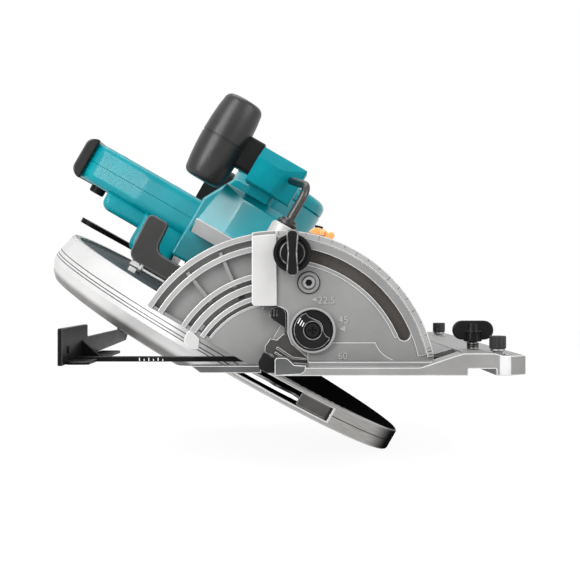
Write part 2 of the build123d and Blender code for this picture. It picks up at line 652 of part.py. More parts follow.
# Bevel pointer, screwed to the end of the sector's rim
POINTER_L = 14.0
POINTER_T = 5.0
POINTER_PLANE = Plane(origin=(bevel_point(POINTER_R, POINTER_A)[0], SECTOR_FRONT + 3,
                              bevel_point(POINTER_R, POINTER_A)[1]),
                      x_dir=(-sin(radians(POINTER_A)), 0, cos(radians(POINTER_A))),
                      z_dir=(cos(radians(POINTER_A)), 0, sin(radians(POINTER_A))))
with BuildPart() as bevel_pointer:
    with BuildSketch(POINTER_PLANE) as pointer_outline:
        Rectangle(POINTER_L, 9)
        fillet(pointer_outline.vertices(), radius=2)
    extrude(amount=POINTER_T)
    with BuildSketch(POINTER_PLANE):
        with Locations((0, 4.4)):
            Rectangle(3, 4)
    extrude(amount=POINTER_T)
    rod(at_y(SECTOR_BACK), (0, BEVEL_Z), POINTER_R, SECTOR_T, mode=Mode.SUBTRACT)
    rod(at_y(SECTOR_FRONT), (0, BEVEL_Z), RIM_R + RUN, SECTOR_T, mode=Mode.SUBTRACT)
    rod(POINTER_PLANE, (0, 0), 1.4, POINTER_T, mode=Mode.SUBTRACT)
keep(bevel_pointer, "bevel_pointer", tilts=True)

with BuildPart() as pointer_screw:
    rod(POINTER_PLANE.offset(1.0), (0, 0), 1.4, POINTER_T)
    rod(POINTER_PLANE.offset(POINTER_T), (0, 0), 2.6, 2)
    with BuildSketch(POINTER_PLANE.offset(POINTER_T + 2)):
        Rectangle(3.4, 0.8)
    extrude(amount=-0.8, mode=Mode.SUBTRACT)
keep(pointer_screw, "pointer_screw", tilts=True)


def bevel_bolt(back, centre, knob_seat, towards):
    """A bolt through the sector and the curved slot, headed behind the sector."""
    with BuildPart() as bolt:
        reach = abs(knob_seat - back) + 4
        rod(at_y(back), centre, BOLT_R, towards * reach)
        rod(at_y(back), centre, 5.0, -towards * 3)
    return bolt


def bevel_knob(centre, seat, towards, wing_angle):
    """A round clamp knob with a raised wing bar across it."""
    with BuildPart() as knob:
        rod(at_y(seat), centre, KNOB_R, towards * KNOB_T)
        with BuildSketch(at_y(seat - towards * KNOB_T)):
            with Locations(Location((*centre, 0), (0, 0, wing_angle))):
                Rectangle(WING_L, WING_T)
            with Locations(centre):
                Circle(WING_L / 2, mode=Mode.INTERSECT)
        extrude(amount=towards * WING_H)
        with BuildSketch(at_y(seat - towards * 2)):
            with Locations(centre):
                with PolarLocations(KNOB_R + 0.5, 24):
                    Circle(0.9)
        extrude(amount=towards * (KNOB_T - 2), mode=Mode.SUBTRACT)
        rod(at_y(seat), centre, BOLT_R + FIT, towards * (KNOB_T - 2), mode=Mode.SUBTRACT)
    return knob


front_knob_seat = PLATE_FRONT - BAR_RAISE - RUN
front_knob_at = (knob_x, knob_z)
keep(bevel_bolt(SECTOR_BACK, front_knob_at, front_knob_seat, 1), "bevel_bolt_front", tilts=True)
keep(bevel_knob(front_knob_at, front_knob_seat, 1, 90 - BEVEL_REST), "bevel_knob_front", tilts=True)

# Rear sector: a plain quadrant with an arm forward to the depth guide
rear_knob_at = bevel_point(REAR_SLOT_R, REAR_KNOB_A)
rear_knob_seat = REAR_PLATE_BACK + RUN
REAR_SECTOR_FRONT = REAR_SECTOR_BACK - REAR_SECTOR_T
GUIDE_FOOT_A = -degrees(asin((PIVOT_Z - 17) / GUIDE_R))
ARM_X = (GUIDE_X + GUIDE_T, GUIDE_X + GUIDE_T + 7)
ARM_Y0 = PIVOT_Y + GUIDE_R - GUIDE_W / 2 - 2
with BuildPart() as rear_sector:
    with BuildSketch(at_y(REAR_SECTOR_BACK)):
        quadrant_region(REAR_RIM_R - 1, SECTOR_X0)
    extrude(amount=REAR_SECTOR_T)
    block(ARM_X, (ARM_Y0, REAR_SECTOR_BACK - 1), (8, 17))
    rod(at_y(REAR_SECTOR_BACK), rear_knob_at, BOLT_R, REAR_SECTOR_T, mode=Mode.SUBTRACT)
keep(rear_sector, "rear_sector", tilts=True)
keep(bevel_bolt(REAR_SECTOR_FRONT, rear_knob_at, rear_knob_seat, -1), "bevel_bolt_rear", tilts=True)
keep(bevel_knob(rear_knob_at, rear_knob_seat, -1, 0), "bevel_knob_rear", tilts=True)

# Depth guide: a curved strip about the depth pivot, with a slot for the clamp bolt
GUIDE_TOP_A = GUIDE_BOLT_A + DEPTH_RANGE + 1
guide_line = CenterArc((PIVOT_Y, PIVOT_Z), GUIDE_R, GUIDE_FOOT_A, GUIDE_TOP_A - GUIDE_FOOT_A)
guide_slot_line = CenterArc((PIVOT_Y, PIVOT_Z), GUIDE_R, GUIDE_BOLT_A - 0.4, DEPTH_RANGE + 0.8)
with BuildPart() as depth_guide:
    with BuildSketch(at_x(GUIDE_X)):
        SlotArc(guide_line, GUIDE_W)
        SlotArc(guide_slot_line, GUIDE_SLOT_W, mode=Mode.SUBTRACT)
    extrude(amount=GUIDE_T)
keep(depth_guide, "depth_guide", tilts=True)

# Blade case: a crowned drum in two halves, trimmed so that it clears the sole at full bevel
CLAMP_AT = depth_point(GUIDE_R, GUIDE_BOLT_A)
CLAMP_BOSS_R = 9.0
CLAMP_BOLT_R = GUIDE_SLOT_W / 2 - RUN
CASE_EDGE_R = CASE_R - CASE_CROWN
CASE_CORNER_R = CASE_EDGE_R - 12
LEVER_Y = -96.0
LEVER_Z = 70.0
LEVER_PIN_R = 3.0
LEVER_X0 = 20.0
CASE_SCREW_RS = (CASE_IN_R - 22, 4)
CASE_SCREW_ANGLES = [62, 90, 118, 146]
BRACKET_Y = -124.0


def trim_for_bevel(reach):
    """Cuts away what would pass under the sole at the rest bevel, or at upright."""
    lean = tan(radians(BEVEL_REST))
    at_cut_line = (CASE_TRIM - BEVEL_Z) / cos(radians(BEVEL_REST)) + BEVEL_Z
    upright_z = CASE_TRIM
    corner_x = (at_cut_line - upright_z) / lean
    far_x = 2 * CASE_X0
    with BuildSketch(at_y(reach)) as waste:
        with BuildLine():
            Polyline((far_x, at_cut_line - lean * far_x), (corner_x, upright_z), (-far_x, upright_z),
                     (-far_x, -reach), (far_x, -reach), close=True)
        make_face()
    extrude(waste.sketch, amount=2 * reach, mode=Mode.SUBTRACT)


with BuildPart() as blade_case_inner:
    with BuildSketch(Plane.XZ):
        with BuildLine():
            Polyline((CASE_SEAM_X, AXLE_Z + CASE_IN_R), (CASE_SEAM_X, AXLE_Z + CASE_R),
                     (CASE_SEAM_X + 2, AXLE_Z + CASE_R), (CASE_X1, AXLE_Z + CASE_EDGE_R),
                     (CASE_X1, AXLE_Z + CASE_BORE_R), (CASE_X1 - CASE_SIDE, AXLE_Z + CASE_BORE_R),
                     (CASE_X1 - CASE_SIDE, AXLE_Z + CASE_IN_R), close=True)
        make_face()
    revolve(axis=AXLE)
    rod(at_x(CASE_X1), CLAMP_AT, CLAMP_BOSS_R, GUIDE_X - RUN - CASE_X1)
    rod(at_x(CASE_X1), (LEVER_Y, LEVER_Z), 7, LEVER_X0 - RUN - CASE_X1)
    with BuildSketch(at_x(CASE_X1)):
        with Locations((0, AXLE_Z)):
            Circle(CASE_EDGE_R - 1)
            Circle(CASE_EDGE_R - 6, mode=Mode.SUBTRACT)
    extrude(amount=1.6)
    trim_for_bevel(2 * CASE_R)
    rod(at_x(CASE_X1 - CASE_SIDE), CLAMP_AT, CLAMP_BOLT_R, GUIDE_X, mode=Mode.SUBTRACT)
    rod(at_x(CASE_X1 - 1), (LEVER_Y, LEVER_Z), LEVER_PIN_R + FIT, LEVER_X0, mode=Mode.SUBTRACT)
keep(blade_case_inner, "blade_case_inner", tilts=True)

with BuildPart() as blade_case_outer:
    with BuildSketch(Plane.XZ):
        with BuildLine():
            Polyline((CASE_SEAM_X, AXLE_Z + CASE_IN_R), (CASE_SEAM_X, AXLE_Z + CASE_R),
                     (CASE_SEAM_X - 2, AXLE_Z + CASE_R), (CASE_X0 + 6, AXLE_Z + CASE_EDGE_R),
                     (CASE_X0 + 1.6, AXLE_Z + CASE_EDGE_R - 4), (CASE_X0, AXLE_Z + CASE_CORNER_R),
                     (CASE_X0, AXLE_Z + CASE_WINDOW_R), (CASE_X0 + CASE_SIDE, AXLE_Z + CASE_WINDOW_R),
                     (CASE_X0 + CASE_SIDE, AXLE_Z + CASE_CORNER_R), (CASE_X0 + 6, AXLE_Z + CASE_IN_R), close=True)
        make_face()
    revolve(axis=AXLE)
    trim_for_bevel(2 * CASE_R)
keep(blade_case_outer, "blade_case_outer", tilts=True)

# Gear housing: carries the spindle and the rotor's front end, and the guard turns on its nose
NOSE_X0 = GUARD_X1 - GUARD_WALL - 1.5
BEARING_W = 9.0
SPINDLE_BEARING_R = 16.0
TAIL_BEARING_R = 13.0
ROTOR_BEARING_R = 10.0
GEAR_X0 = CASE_X1 + GEARBOX_WALL + 1.5
GEAR_X1 = GEAR_X0 + GEAR_W
TAIL_X0 = GEARBOX_X1 - BEARING_W
GEARBOX_R = GEAR_PITCH_R + GEAR_MODULE * 0.8 + 1
SHAFT_LOCK_AT = (GEARBOX_X1 - 12, AXLE_Z)
SHAFT_LOCK_R = 5.5
SHAFT_LOCK_L = 18.0
SHAFT_LOCK_TRAVEL = 3.0
SHAFT_LOCK_Y = -GEAR_PITCH_R - GEAR_MODULE - SHAFT_LOCK_TRAVEL - 1
with BuildPart() as gear_housing:
    with BuildSketch(at_x(CASE_X1)):
        with Locations((0, AXLE_Z)):
            Circle(GEARBOX_R + GEARBOX_WALL)
        with Locations((MOTOR_Y, MOTOR_Z)):
            Circle(MOTOR_R)
        make_hull()
    extrude(amount=GEARBOX_X1 - CASE_X1)
    rod(at_x(CASE_X1), (0, AXLE_Z), CASE_BORE_R - FIT, -CASE_SIDE)
    rod(at_x(CASE_X1 - CASE_SIDE), (0, AXLE_Z), GUARD_HUB_R - FIT, NOSE_X0 - CASE_X1 + CASE_SIDE)
    with BuildSketch(at_x(CASE_X1 + GEARBOX_WALL)):
        with Locations((0, AXLE_Z)):
            Circle(GEARBOX_R)
        with Locations((MOTOR_Y, MOTOR_Z)):
            Circle(PINION_PITCH_R + GEAR_MODULE + 3)
        make_hull()
    extrude(amount=TAIL_X0 - CASE_X1 - GEARBOX_WALL, mode=Mode.SUBTRACT)
    rod(at_x(NOSE_X0), (0, AXLE_Z), SPINDLE_BEARING_R, GEAR_X0 - NOSE_X0, mode=Mode.SUBTRACT)
    rod(at_x(TAIL_X0), (0, AXLE_Z), TAIL_BEARING_R, BEARING_W - 2, mode=Mode.SUBTRACT)
    rod(at_x(TAIL_X0), (MOTOR_Y, MOTOR_Z), ROTOR_BEARING_R, BEARING_W, mode=Mode.SUBTRACT)
    rod(at_y(-GEAR_PITCH_R), SHAFT_LOCK_AT, SHAFT_LOCK_R + SEAT, 2 * MOTOR_R, mode=Mode.SUBTRACT)
keep(gear_housing, "gear_housing", tilts=True)


def bearing(x, centre, bore_r, outer_r, width):
    """A plain ball bearing drawn as its rings."""
    rod(at_x(x), centre, outer_r, width)
    rod(at_x(x), centre, bore_r + FIT, width, mode=Mode.SUBTRACT)


NOSE_BEARING_W = GEAR_X0 - NOSE_X0 - 2
# Pivot bracket: the casting that hangs the saw on the depth pivot pin
BRACKET_X0 = EAR_X0 + EAR_T + RUN
BRACKET_X1 = EAR_X1 - RUN
with BuildPart() as pivot_bracket:
    rod(at_x(BRACKET_X0), (PIVOT_Y, PIVOT_Z), EAR_R, BRACKET_X1 - BRACKET_X0)
    block((BRACKET_X0, BRACKET_X0 + 12), (PIVOT_Y, BRACKET_Y), (PIVOT_Z - 6, PIVOT_Z + 6))
    block((CASE_X1, BRACKET_X0 + 12), (BRACKET_Y - 16, BRACKET_Y + 8), (PIVOT_Z - 10, PIVOT_Z + 10))
    block((BRACKET_X0, BRACKET_X1), (PIVOT_Y + 4, PIVOT_Y + 12), (PIVOT_Z - 5, PIVOT_Z + 7))
    rod(at_x(BRACKET_X0), (PIVOT_Y, PIVOT_Z), PIVOT_ROD_R + FIT, BRACKET_X1, mode=Mode.SUBTRACT)
keep(pivot_bracket, "pivot_bracket", tilts=True)

# Depth pivot pin: a bent rod whose end turns up into the grip post
PIN_BEND = 9.0
PIN_END = Vector((POST_X0 + POST_X1) / 2 + 1.5, GRIP_Y - POST_D / 2, POST_Z0 + 6)
pin_corner = Vector(PIN_END.X, PIVOT_Y, PIVOT_Z)
with BuildPart() as depth_pivot_pin:
    with BuildLine():
        FilletPolyline((EAR_X0 - 2, PIVOT_Y, PIVOT_Z), pin_corner, PIN_END, radius=PIN_BEND)
    with BuildSketch(at_x(EAR_X0 - 2)):
        with Locations((PIVOT_Y, PIVOT_Z)):
            Circle(PIVOT_ROD_R)
    sweep()
    rod(at_x(EAR_X1 + EAR_T + RUN), (PIVOT_Y, PIVOT_Z), PIVOT_ROD_R + 2.4, 1.6)
keep(depth_pivot_pin, "depth_pivot_pin", tilts=True)

# Motor housing: a round can with a chamfered block in front and a saddle for the handle
CHAMFER_X = 11.0
FACET_X = 13.0
with BuildPart() as motor_housing:
    rod(at_x(GEARBOX_X1), (MOTOR_Y, MOTOR_Z), MOTOR_R, MOTOR_X1 - GEARBOX_X1)
    with BuildSketch(at_z(BLOCK_Z0)) as block_plan:
        with BuildLine():
            Polyline((BLOCK_X0, MOTOR_Y), (BLOCK_X0, BLOCK_Y + 16), (BLOCK_X0 + CHAMFER_X, BLOCK_Y),
                     (BLOCK_X1 - FACET_X, BLOCK_Y), (BLOCK_X1, BLOCK_Y + FACET_X), (BLOCK_X1, MOTOR_Y), close=True)
        make_face()
    extrude(amount=BLOCK_Z1 - BLOCK_Z0)
    with BuildSketch(at_y(MOTOR_Y)):
        with BuildLine():
            Polyline((BLOCK_X0 + CHAMFER_X, BLOCK_Z1 + 1), (BLOCK_X1 + 1, BLOCK_Z1 - 8), (BLOCK_X1 + 1, BLOCK_Z1 + 1),
                     close=True)
        make_face()
    extrude(amount=MOTOR_Y - BLOCK_Y + 1, mode=Mode.SUBTRACT)
    with BuildSketch(at_y(MOTOR_Y + MOTOR_R)) as saddle:
        with BuildLine():
            Polyline((GEARBOX_X1, MOTOR_Z), (GEARBOX_X1, SADDLE_Z), (HANDLE_X1 + 2, SADDLE_Z),
                     (MOTOR_X1 - 8, SADDLE_Z - 9), (MOTOR_X1 - 8, MOTOR_Z), close=True)
        make_face()
    extrude(amount=2 * MOTOR_R + 4)
    cavity_r = STATOR_R + FIT
    rod(at_x(GEARBOX_X1), (MOTOR_Y, MOTOR_Z), cavity_r, MOTOR_X1 - GEARBOX_X1, mode=Mode.SUBTRACT)
    block((BLOCK_X0 + MOTOR_WALL, BLOCK_X1 - MOTOR_WALL), (BLOCK_Y + 18, MOTOR_Y),
          (BLOCK_Z0 + MOTOR_WALL, BLOCK_Z1 - 8 - MOTOR_WALL), mode=Mode.SUBTRACT)
keep(motor_housing, "motor_housing", tilts=True)

# Pale plate on the block's chamfer
plate_dir = Vector(CHAMFER_X, -16, 0).normalized()
plate_out = Vector(-16, -CHAMFER_X, 0).normalized()
plate_mid = Vector(BLOCK_X0 + CHAMFER_X / 2, BLOCK_Y + 8, (BLOCK_Z0 + BLOCK_Z1) / 2 + 9)
with BuildPart() as block_plate:
    with BuildSketch(Plane(origin=plate_mid, x_dir=plate_dir, z_dir=plate_out)) as plate_outline:
        Rectangle(hypot(16, CHAMFER_X) - 2, 32)
        fillet(plate_outline.vertices(), radius=1)
    extrude(amount=0.6)
keep(block_plate, "block_plate", tilts=True)

# Motor end cap with its cooling slots
with BuildPart() as motor_end_cap:
    rod(at_x(MOTOR_X1), (MOTOR_Y, MOTOR_Z), MOTOR_R, END_CAP_T)
    fillet(motor_end_cap.faces().sort_by(Axis.X)[-1].edges(), radius=END_CAP_T * 0.6)
    rod(at_x(MOTOR_X1), (MOTOR_Y, MOTOR_Z), MOTOR_R - MOTOR_WALL, END_CAP_T - MOTOR_WALL, mode=Mode.SUBTRACT)
    rod(at_x(MOTOR_X1), (MOTOR_Y, MOTOR_Z), ROTOR_BEARING_R + MOTOR_WALL, END_CAP_T - MOTOR_WALL)
    rod(at_x(MOTOR_X1), (MOTOR_Y, MOTOR_Z), ROTOR_BEARING_R, END_CAP_T - MOTOR_WALL, mode=Mode.SUBTRACT)
    with BuildSketch(at_x(MOTOR_X1)):
        with Locations((MOTOR_Y, MOTOR_Z)):
            with PolarLocations(MOTOR_R * 0.62, 14):
                SlotOverall(11, 3)
    extrude(amount=END_CAP_T + 1, mode=Mode.SUBTRACT)
keep(motor_end_cap, "motor_end_cap", tilts=True)

with BuildPart() as stator:
    rod(at_x(STATOR_X0), (MOTOR_Y, MOTOR_Z), STATOR_R, STATOR_L)
    rod(at_x(STATOR_X0), (MOTOR_Y, MOTOR_Z), STATOR_BORE_R, STATOR_L, mode=Mode.SUBTRACT)
    with BuildSketch(at_x(STATOR_X0)):
        with Locations((MOTOR_Y, MOTOR_Z)):
            with PolarLocations(STATOR_BORE_R + 4, 12):
                Circle(2.2)
    extrude(amount=STATOR_L, mode=Mode.SUBTRACT)
keep(stator, "stator", tilts=True)

with BuildPart() as bearings:
    bearing(NOSE_X0 + 1, (0, AXLE_Z), SPINDLE_R, SPINDLE_BEARING_R, NOSE_BEARING_W)
    bearing(TAIL_X0, (0, AXLE_Z), SPINDLE_TAIL_R, TAIL_BEARING_R, BEARING_W - 2)
    bearing(TAIL_X0, (MOTOR_Y, MOTOR_Z), ROTOR_SHAFT_R, ROTOR_BEARING_R, BEARING_W)
    bearing(MOTOR_X1, (MOTOR_Y, MOTOR_Z), ROTOR_SHAFT_R, ROTOR_BEARING_R, END_CAP_T - MOTOR_WALL)
keep(bearings, "bearings", tilts=True)


def toothed_wheel(x, width, centre, teeth, pitch_r, turn):
    """A spur wheel with slim straight-sided teeth that leave backlash."""
    root_r = pitch_r - 1.2 * GEAR_MODULE
    tip_r = pitch_r + 0.8 * GEAR_MODULE
    with BuildSketch(at_x(x)) as wheel:
        with Locations(centre):
            Circle(root_r)
        with Locations(Location((*centre, 0), (0, 0, turn))):
            with PolarLocations(0, teeth):
                with Locations(((root_r + tip_r) / 2 - 0.2, 0)):
                    Rectangle(tip_r - root_r + 0.4, 0.95 * GEAR_MODULE)
    extrude(wheel.sketch, amount=width)


# Rotor: shaft with its pinion, magnet core and fan
GEAR_LINE = degrees(atan2(MOTOR_Z - AXLE_Z, MOTOR_Y))
with BuildPart() as rotor:
    rod(at_x(GEAR_X0), (MOTOR_Y, MOTOR_Z), ROTOR_SHAFT_R, MOTOR_X1 + END_CAP_T - MOTOR_WALL - GEAR_X0)
    toothed_wheel(GEAR_X0, GEAR_W, (MOTOR_Y, MOTOR_Z), PINION_TEETH, PINION_PITCH_R, GEAR_LINE + 180)
    rod(at_x(STATOR_X0 + 1), (MOTOR_Y, MOTOR_Z), STATOR_BORE_R - 0.5, STATOR_L - 2)
keep(rotor, "rotor", tilts=True)

FAN_W = 9.0
with BuildPart() as cooling_fan:
    rod(at_x(FAN_X), (MOTOR_Y, MOTOR_Z), FAN_R, 1.6)
    rod(at_x(FAN_X), (MOTOR_Y, MOTOR_Z), ROTOR_SHAFT_R + 4, FAN_W)
    with BuildSketch(at_x(FAN_X)):
        with Locations((MOTOR_Y, MOTOR_Z)):
            with PolarLocations((FAN_R + ROTOR_SHAFT_R + 4) / 2, 17):
                Rectangle(FAN_R - ROTOR_SHAFT_R - 5, 1.3)
    extrude(amount=FAN_W)
    rod(at_x(FAN_X), (MOTOR_Y, MOTOR_Z), ROTOR_SHAFT_R, FAN_W, mode=Mode.SUBTRACT)
keep(cooling_fan, "cooling_fan", tilts=True)

# Spindle group: stepped spindle, gear, flanges, blade and bolt
INNER_FLANGE_X = BLADE_X + BLADE_T / 2
OUTER_FLANGE_X = BLADE_X - BLADE_T / 2 - FLANGE_T
SPINDLE_X0 = BLADE_X + BLADE_T / 2
with BuildPart() as spindle:
    rod(at_x(SPINDLE_X0), (0, AXLE_Z), SPINDLE_R, GEAR_X1 - SPINDLE_X0)
    rod(at_x(GEAR_X1), (0, AXLE_Z), SPINDLE_TAIL_R, GEARBOX_X1 - 2 - GEAR_X1)
    rod(at_x(SPINDLE_X0), (0, AXLE_Z), 3.0, 14, mode=Mode.SUBTRACT)
keep(spindle, "spindle", tilts=True)

with BuildPart() as spindle_gear:
    toothed_wheel(GEAR_X0, GEAR_W, (0, AXLE_Z), GEAR_TEETH, GEAR_PITCH_R, GEAR_LINE + 180 / GEAR_TEETH)
    rod(at_x(GEAR_X0), (0, AXLE_Z), SPINDLE_R, GEAR_W, mode=Mode.SUBTRACT)
keep(spindle_gear, "spindle_gear", tilts=True)

with BuildPart() as inner_flange:
    rod(at_x(INNER_FLANGE_X), (0, AXLE_Z), FLANGE_R, FLANGE_T)
    rod(at_x(INNER_FLANGE_X), (0, AXLE_Z), SPINDLE_R, FLANGE_T, mode=Mode.SUBTRACT)
keep(inner_flange, "inner_flange", tilts=True)

with BuildPart() as outer_flange:
    rod(at_x(OUTER_FLANGE_X), (0, AXLE_Z), FLANGE_R, FLANGE_T)
    rod(at_x(OUTER_FLANGE_X + FLANGE_T), (0, AXLE_Z), BLADE_BORE_D / 2, BLADE_T)
    rod(at_x(OUTER_FLANGE_X), (0, AXLE_Z), 3.2, FLANGE_T + BLADE_T, mode=Mode.SUBTRACT)
    fillet(outer_flange.faces().sort_by(Axis.X)[0].outer_wire().edges(), radius=1.4)
keep(outer_flange, "outer_flange", tilts=True)

BOLT_HEAD_T = 5.0
with BuildPart() as blade_bolt:
    rod(at_x(OUTER_FLANGE_X), (0, AXLE_Z), 7.5, -1.6)
    with BuildSketch(at_x(OUTER_FLANGE_X - 1.6)):
        with Locations((0, AXLE_Z)):
            RegularPolygon(radius=6.4, side_count=6)
    extrude(amount=-BOLT_HEAD_T)
    rod(at_x(OUTER_FLANGE_X), (0, AXLE_Z), 3.0, SPINDLE_X0 + 13 - OUTER_FLANGE_X)
keep(blade_bolt, "blade_bolt", tilts=True)

with BuildPart() as saw_blade:
    tooth_pitch = 360 / BLADE_TEETH
    with BuildSketch(at_x(BLADE_X - BLADE_T / 2)):
        with BuildLine():
            for tooth in range(BLADE_TEETH):
                tip = tooth * tooth_pitch
                gullet = tip - tooth_pitch * 0.16
                heel = tip - tooth_pitch
                points = [(BLADE_R, tip), (BLADE_R - TOOTH_DEPTH, gullet), (BLADE_R - TOOTH_DEPTH * 0.8, tip - 3.2),
                          (BLADE_R - 1.2, heel + tooth_pitch * 0.05), (BLADE_R, heel)]
                Polyline(*[(r * cos(radians(a)), AXLE_Z + r * sin(radians(a))) for r, a in points])
        make_face()
        with Locations((0, AXLE_Z)):
            Circle(BLADE_BORE_D / 2, mode=Mode.SUBTRACT)
            with PolarLocations(BLADE_R * 0.62, 4):
                SlotOverall(26, 2.4, mode=Mode.SUBTRACT)
    extrude(amount=BLADE_T)
keep(saw_blade, "saw_blade", tilts=True)

# Lower guard: a channel round the lower half of the blade, hung on its inner plate
SIDE_BAND_R = GUARD_R - 46
with BuildPart() as lower_guard:
    rod(at_x(GUARD_X0), (0, AXLE_Z), GUARD_R, GUARD_W)
    fillet(lower_guard.faces().filter_by(Axis.X).edges(), radius=2.4)
    rod(at_x(GUARD_X0 + GUARD_WALL), (0, AXLE_Z), GUARD_IN_R, GUARD_W - 2 * GUARD_WALL, mode=Mode.SUBTRACT)
    rod(at_x(GUARD_X0), (0, AXLE_Z), SIDE_BAND_R, GUARD_WALL, mode=Mode.SUBTRACT)
    with BuildSketch(at_x(GUARD_X0)):
        with BuildLine():
            Polyline((-2 * GUARD_R, AXLE_Z + 6), (-GUARD_HUB_R - 14, AXLE_Z + 6), (-GUARD_HUB_R - 4, AXLE_Z + 44),
                     (GUARD_HUB_R, AXLE_Z + 44), (2 * GUARD_R, AXLE_Z + 52), (2 * GUARD_R, AXLE_Z + 2 * GUARD_R),
                     (-2 * GUARD_R, AXLE_Z + 2 * GUARD_R), close=True)
        make_face()
    extrude(amount=GUARD_W, mode=Mode.SUBTRACT)
    nose_x = (GUARD_X0 + GUARD_WALL + 1.4, GUARD_X1 - GUARD_WALL - 1.4)
    block(nose_x, (-2 * GUARD_R, -GUARD_R * 0.6), (AXLE_Z - GUARD_NOSE_DROP - 45, AXLE_Z + 10), mode=Mode.SUBTRACT)
    rod(at_x(GUARD_X1 - GUARD_WALL), (0, AXLE_Z), GUARD_HUB_R + 5, -1.2)
    rod(at_x(GUARD_X0), (0, AXLE_Z), GUARD_HUB_R, GUARD_W, mode=Mode.SUBTRACT)
keep(lower_guard, "lower_guard", tilts=True)

# Guard return spring, coiled inside the case round the housing's nose
with BuildPart() as guard_spring:
    rod(at_x(GUARD_X1 + RUN), (0, AXLE_Z), GUARD_HUB_R + 2.4, CASE_X1 - CASE_SIDE - GUARD_X1 - 2 * RUN)
    rod(at_x(GUARD_X1), (0, AXLE_Z), GUARD_HUB_R, GUARD_W, mode=Mode.SUBTRACT)
keep(guard_spring, "guard_spring", tilts=True)

# Guard lever: an L-shaped paddle on a pin, with the steel rod that works the guard
PADDLE_X1 = 55.0
PADDLE_Z0 = 111.0
PADDLE_Z1 = 128.0
LEVER_T = 10.0
LEG_X1 = 33.0
ROD_X = 17.4
with BuildPart() as guard_lever:
    with BuildSketch(at_y(LEVER_Y + LEVER_T / 2)) as paddle:
        with BuildLine():
            Polyline((LEVER_X0, LEVER_Z - 8), (LEG_X1, LEVER_Z - 8), (LEG_X1, PADDLE_Z0), (PADDLE_X1, PADDLE_Z0 + 1.5),
                     (PADDLE_X1, PADDLE_Z1), (LEVER_X0, PADDLE_Z1 - 2), close=True)
        make_face()
        fillet(paddle.vertices().group_by(Axis.X)[-1], radius=4)
        fillet([v for v in paddle.vertices() if abs(v.X - LEG_X1) < 1 and abs(v.Y - PADDLE_Z0) < 1], radius=4)
    extrude(amount=LEVER_T)
    rod(at_x(LEVER_X0), (LEVER_Y, LEVER_Z), LEVER_PIN_R, CASE_X1 - LEVER_X0)
keep(guard_lever, "guard_lever", tilts=True)

with BuildPart() as lever_rod:
    rod(at_z(90), (ROD_X, LEVER_Y - 2), 2.0, 31)
    block((ROD_X - 5, LEVER_X0), (LEVER_Y - 4.5, LEVER_Y + 0.5), (116, 121.5))
    rod(at_z(88), (ROD_X, LEVER_Y - 2), 2.5, 6)
keep(lever_rod, "lever_rod", tilts=True)

# Depth clamp: bolt through the guide's slot and its lever on the motor side
DEPTH_LEVER_X = GUIDE_X + GUIDE_T + RUN
with BuildPart() as depth_clamp_bolt:
    rod(at_x(CASE_X1 - CASE_SIDE), CLAMP_AT, CLAMP_BOLT_R, DEPTH_LEVER_X + 8 - CASE_X1 + CASE_SIDE)
keep(depth_clamp_bolt, "depth_clamp_bolt", tilts=True)

with BuildPart() as depth_lever:
    with BuildSketch(at_x(DEPTH_LEVER_X)):
        with Locations(CLAMP_AT):
            Circle(9)
        with Locations((CLAMP_AT[0] + 34, CLAMP_AT[1] + 30)):
            Circle(5.5)
        make_hull()
    extrude(amount=7)
    fillet(depth_lever.faces().sort_by(Axis.X)[-1].edges(), radius=2)
    rod(at_x(DEPTH_LEVER_X), CLAMP_AT, CLAMP_BOLT_R + FIT, 10, mode=Mode.SUBTRACT)
keep(depth_lever, "depth_lever", tilts=True)

# Dust nozzle on the outer side of the case
NOZZLE_AT = (0.785 * CASE_CORNER_R, AXLE_Z + 0.61 * CASE_CORNER_R)
NOZZLE_R = 11.0
NOZZLE_L = 22.0
with BuildPart() as dust_nozzle:
    rod(at_x(CASE_X0), NOZZLE_AT, NOZZLE_R + 5, -3)
    rod(at_x(CASE_X0), NOZZLE_AT, NOZZLE_R, -NOZZLE_L)
    rod(at_x(CASE_X0 - 3), NOZZLE_AT, NOZZLE_R - 2.2, -NOZZLE_L, mode=Mode.SUBTRACT)
    chamfer(dust_nozzle.faces().sort_by(Axis.X)[0].outer_wire().edges(), length=1.2)
keep(dust_nozzle, "dust_nozzle", tilts=True)

# Handle: a closed loop, made whole and then parted into shells and the rubber on top
OUTLINE = [(-46, SADDLE_Z), (-43, 150), (-36, 190), (-22, 207), (-4, 209), (62, 199), (124, 181), (152, 164),
           (158, 140), (156, HANDLE_FLOOR), (48, HANDLE_FLOOR), (44, SADDLE_Z)]
OPENING = [(4, 130), (1, 150), (6, 172), (22, 179), (62, 171), (104, 157), (112, 147), (108, 134), (102, 130)]
RUBBER = [(-46, 196), (-10, 201), (62, 192), (118, 174), (164, 150), (180, 230), (-60, 230)]


def outline_face(points, radius, mode=Mode.ADD):
    """A closed outline, its corners above the battery mount rounded, in the sketch that calls it."""
    with BuildSketch(mode=Mode.PRIVATE) as rounded:
        with BuildLine():
            Polyline(*points, close=True)
        make_face()
        fillet([v for v in rounded.vertices() if v.Y > HANDLE_FLOOR + 1], radius=radius)
    add(rounded.sketch, mode=mode)


with BuildPart() as handle_body:
    with BuildSketch(at_x(HANDLE_X0)):
        outline_face(OUTLINE, HANDLE_ROUND + 1)
        outline_face(OPENING, HANDLE_ROUND / 2, mode=Mode.SUBTRACT)
    extrude(amount=HANDLE_X1 - HANDLE_X0)
    grip_edges = [e for e in handle_body.edges() if e.center().Z > HANDLE_FLOOR + 1
                  and min(abs(e.center().X - HANDLE_X0), abs(e.center().X - HANDLE_X1)) < 0.01]
    chamfer(grip_edges, length=HANDLE_ROUND * 0.6)

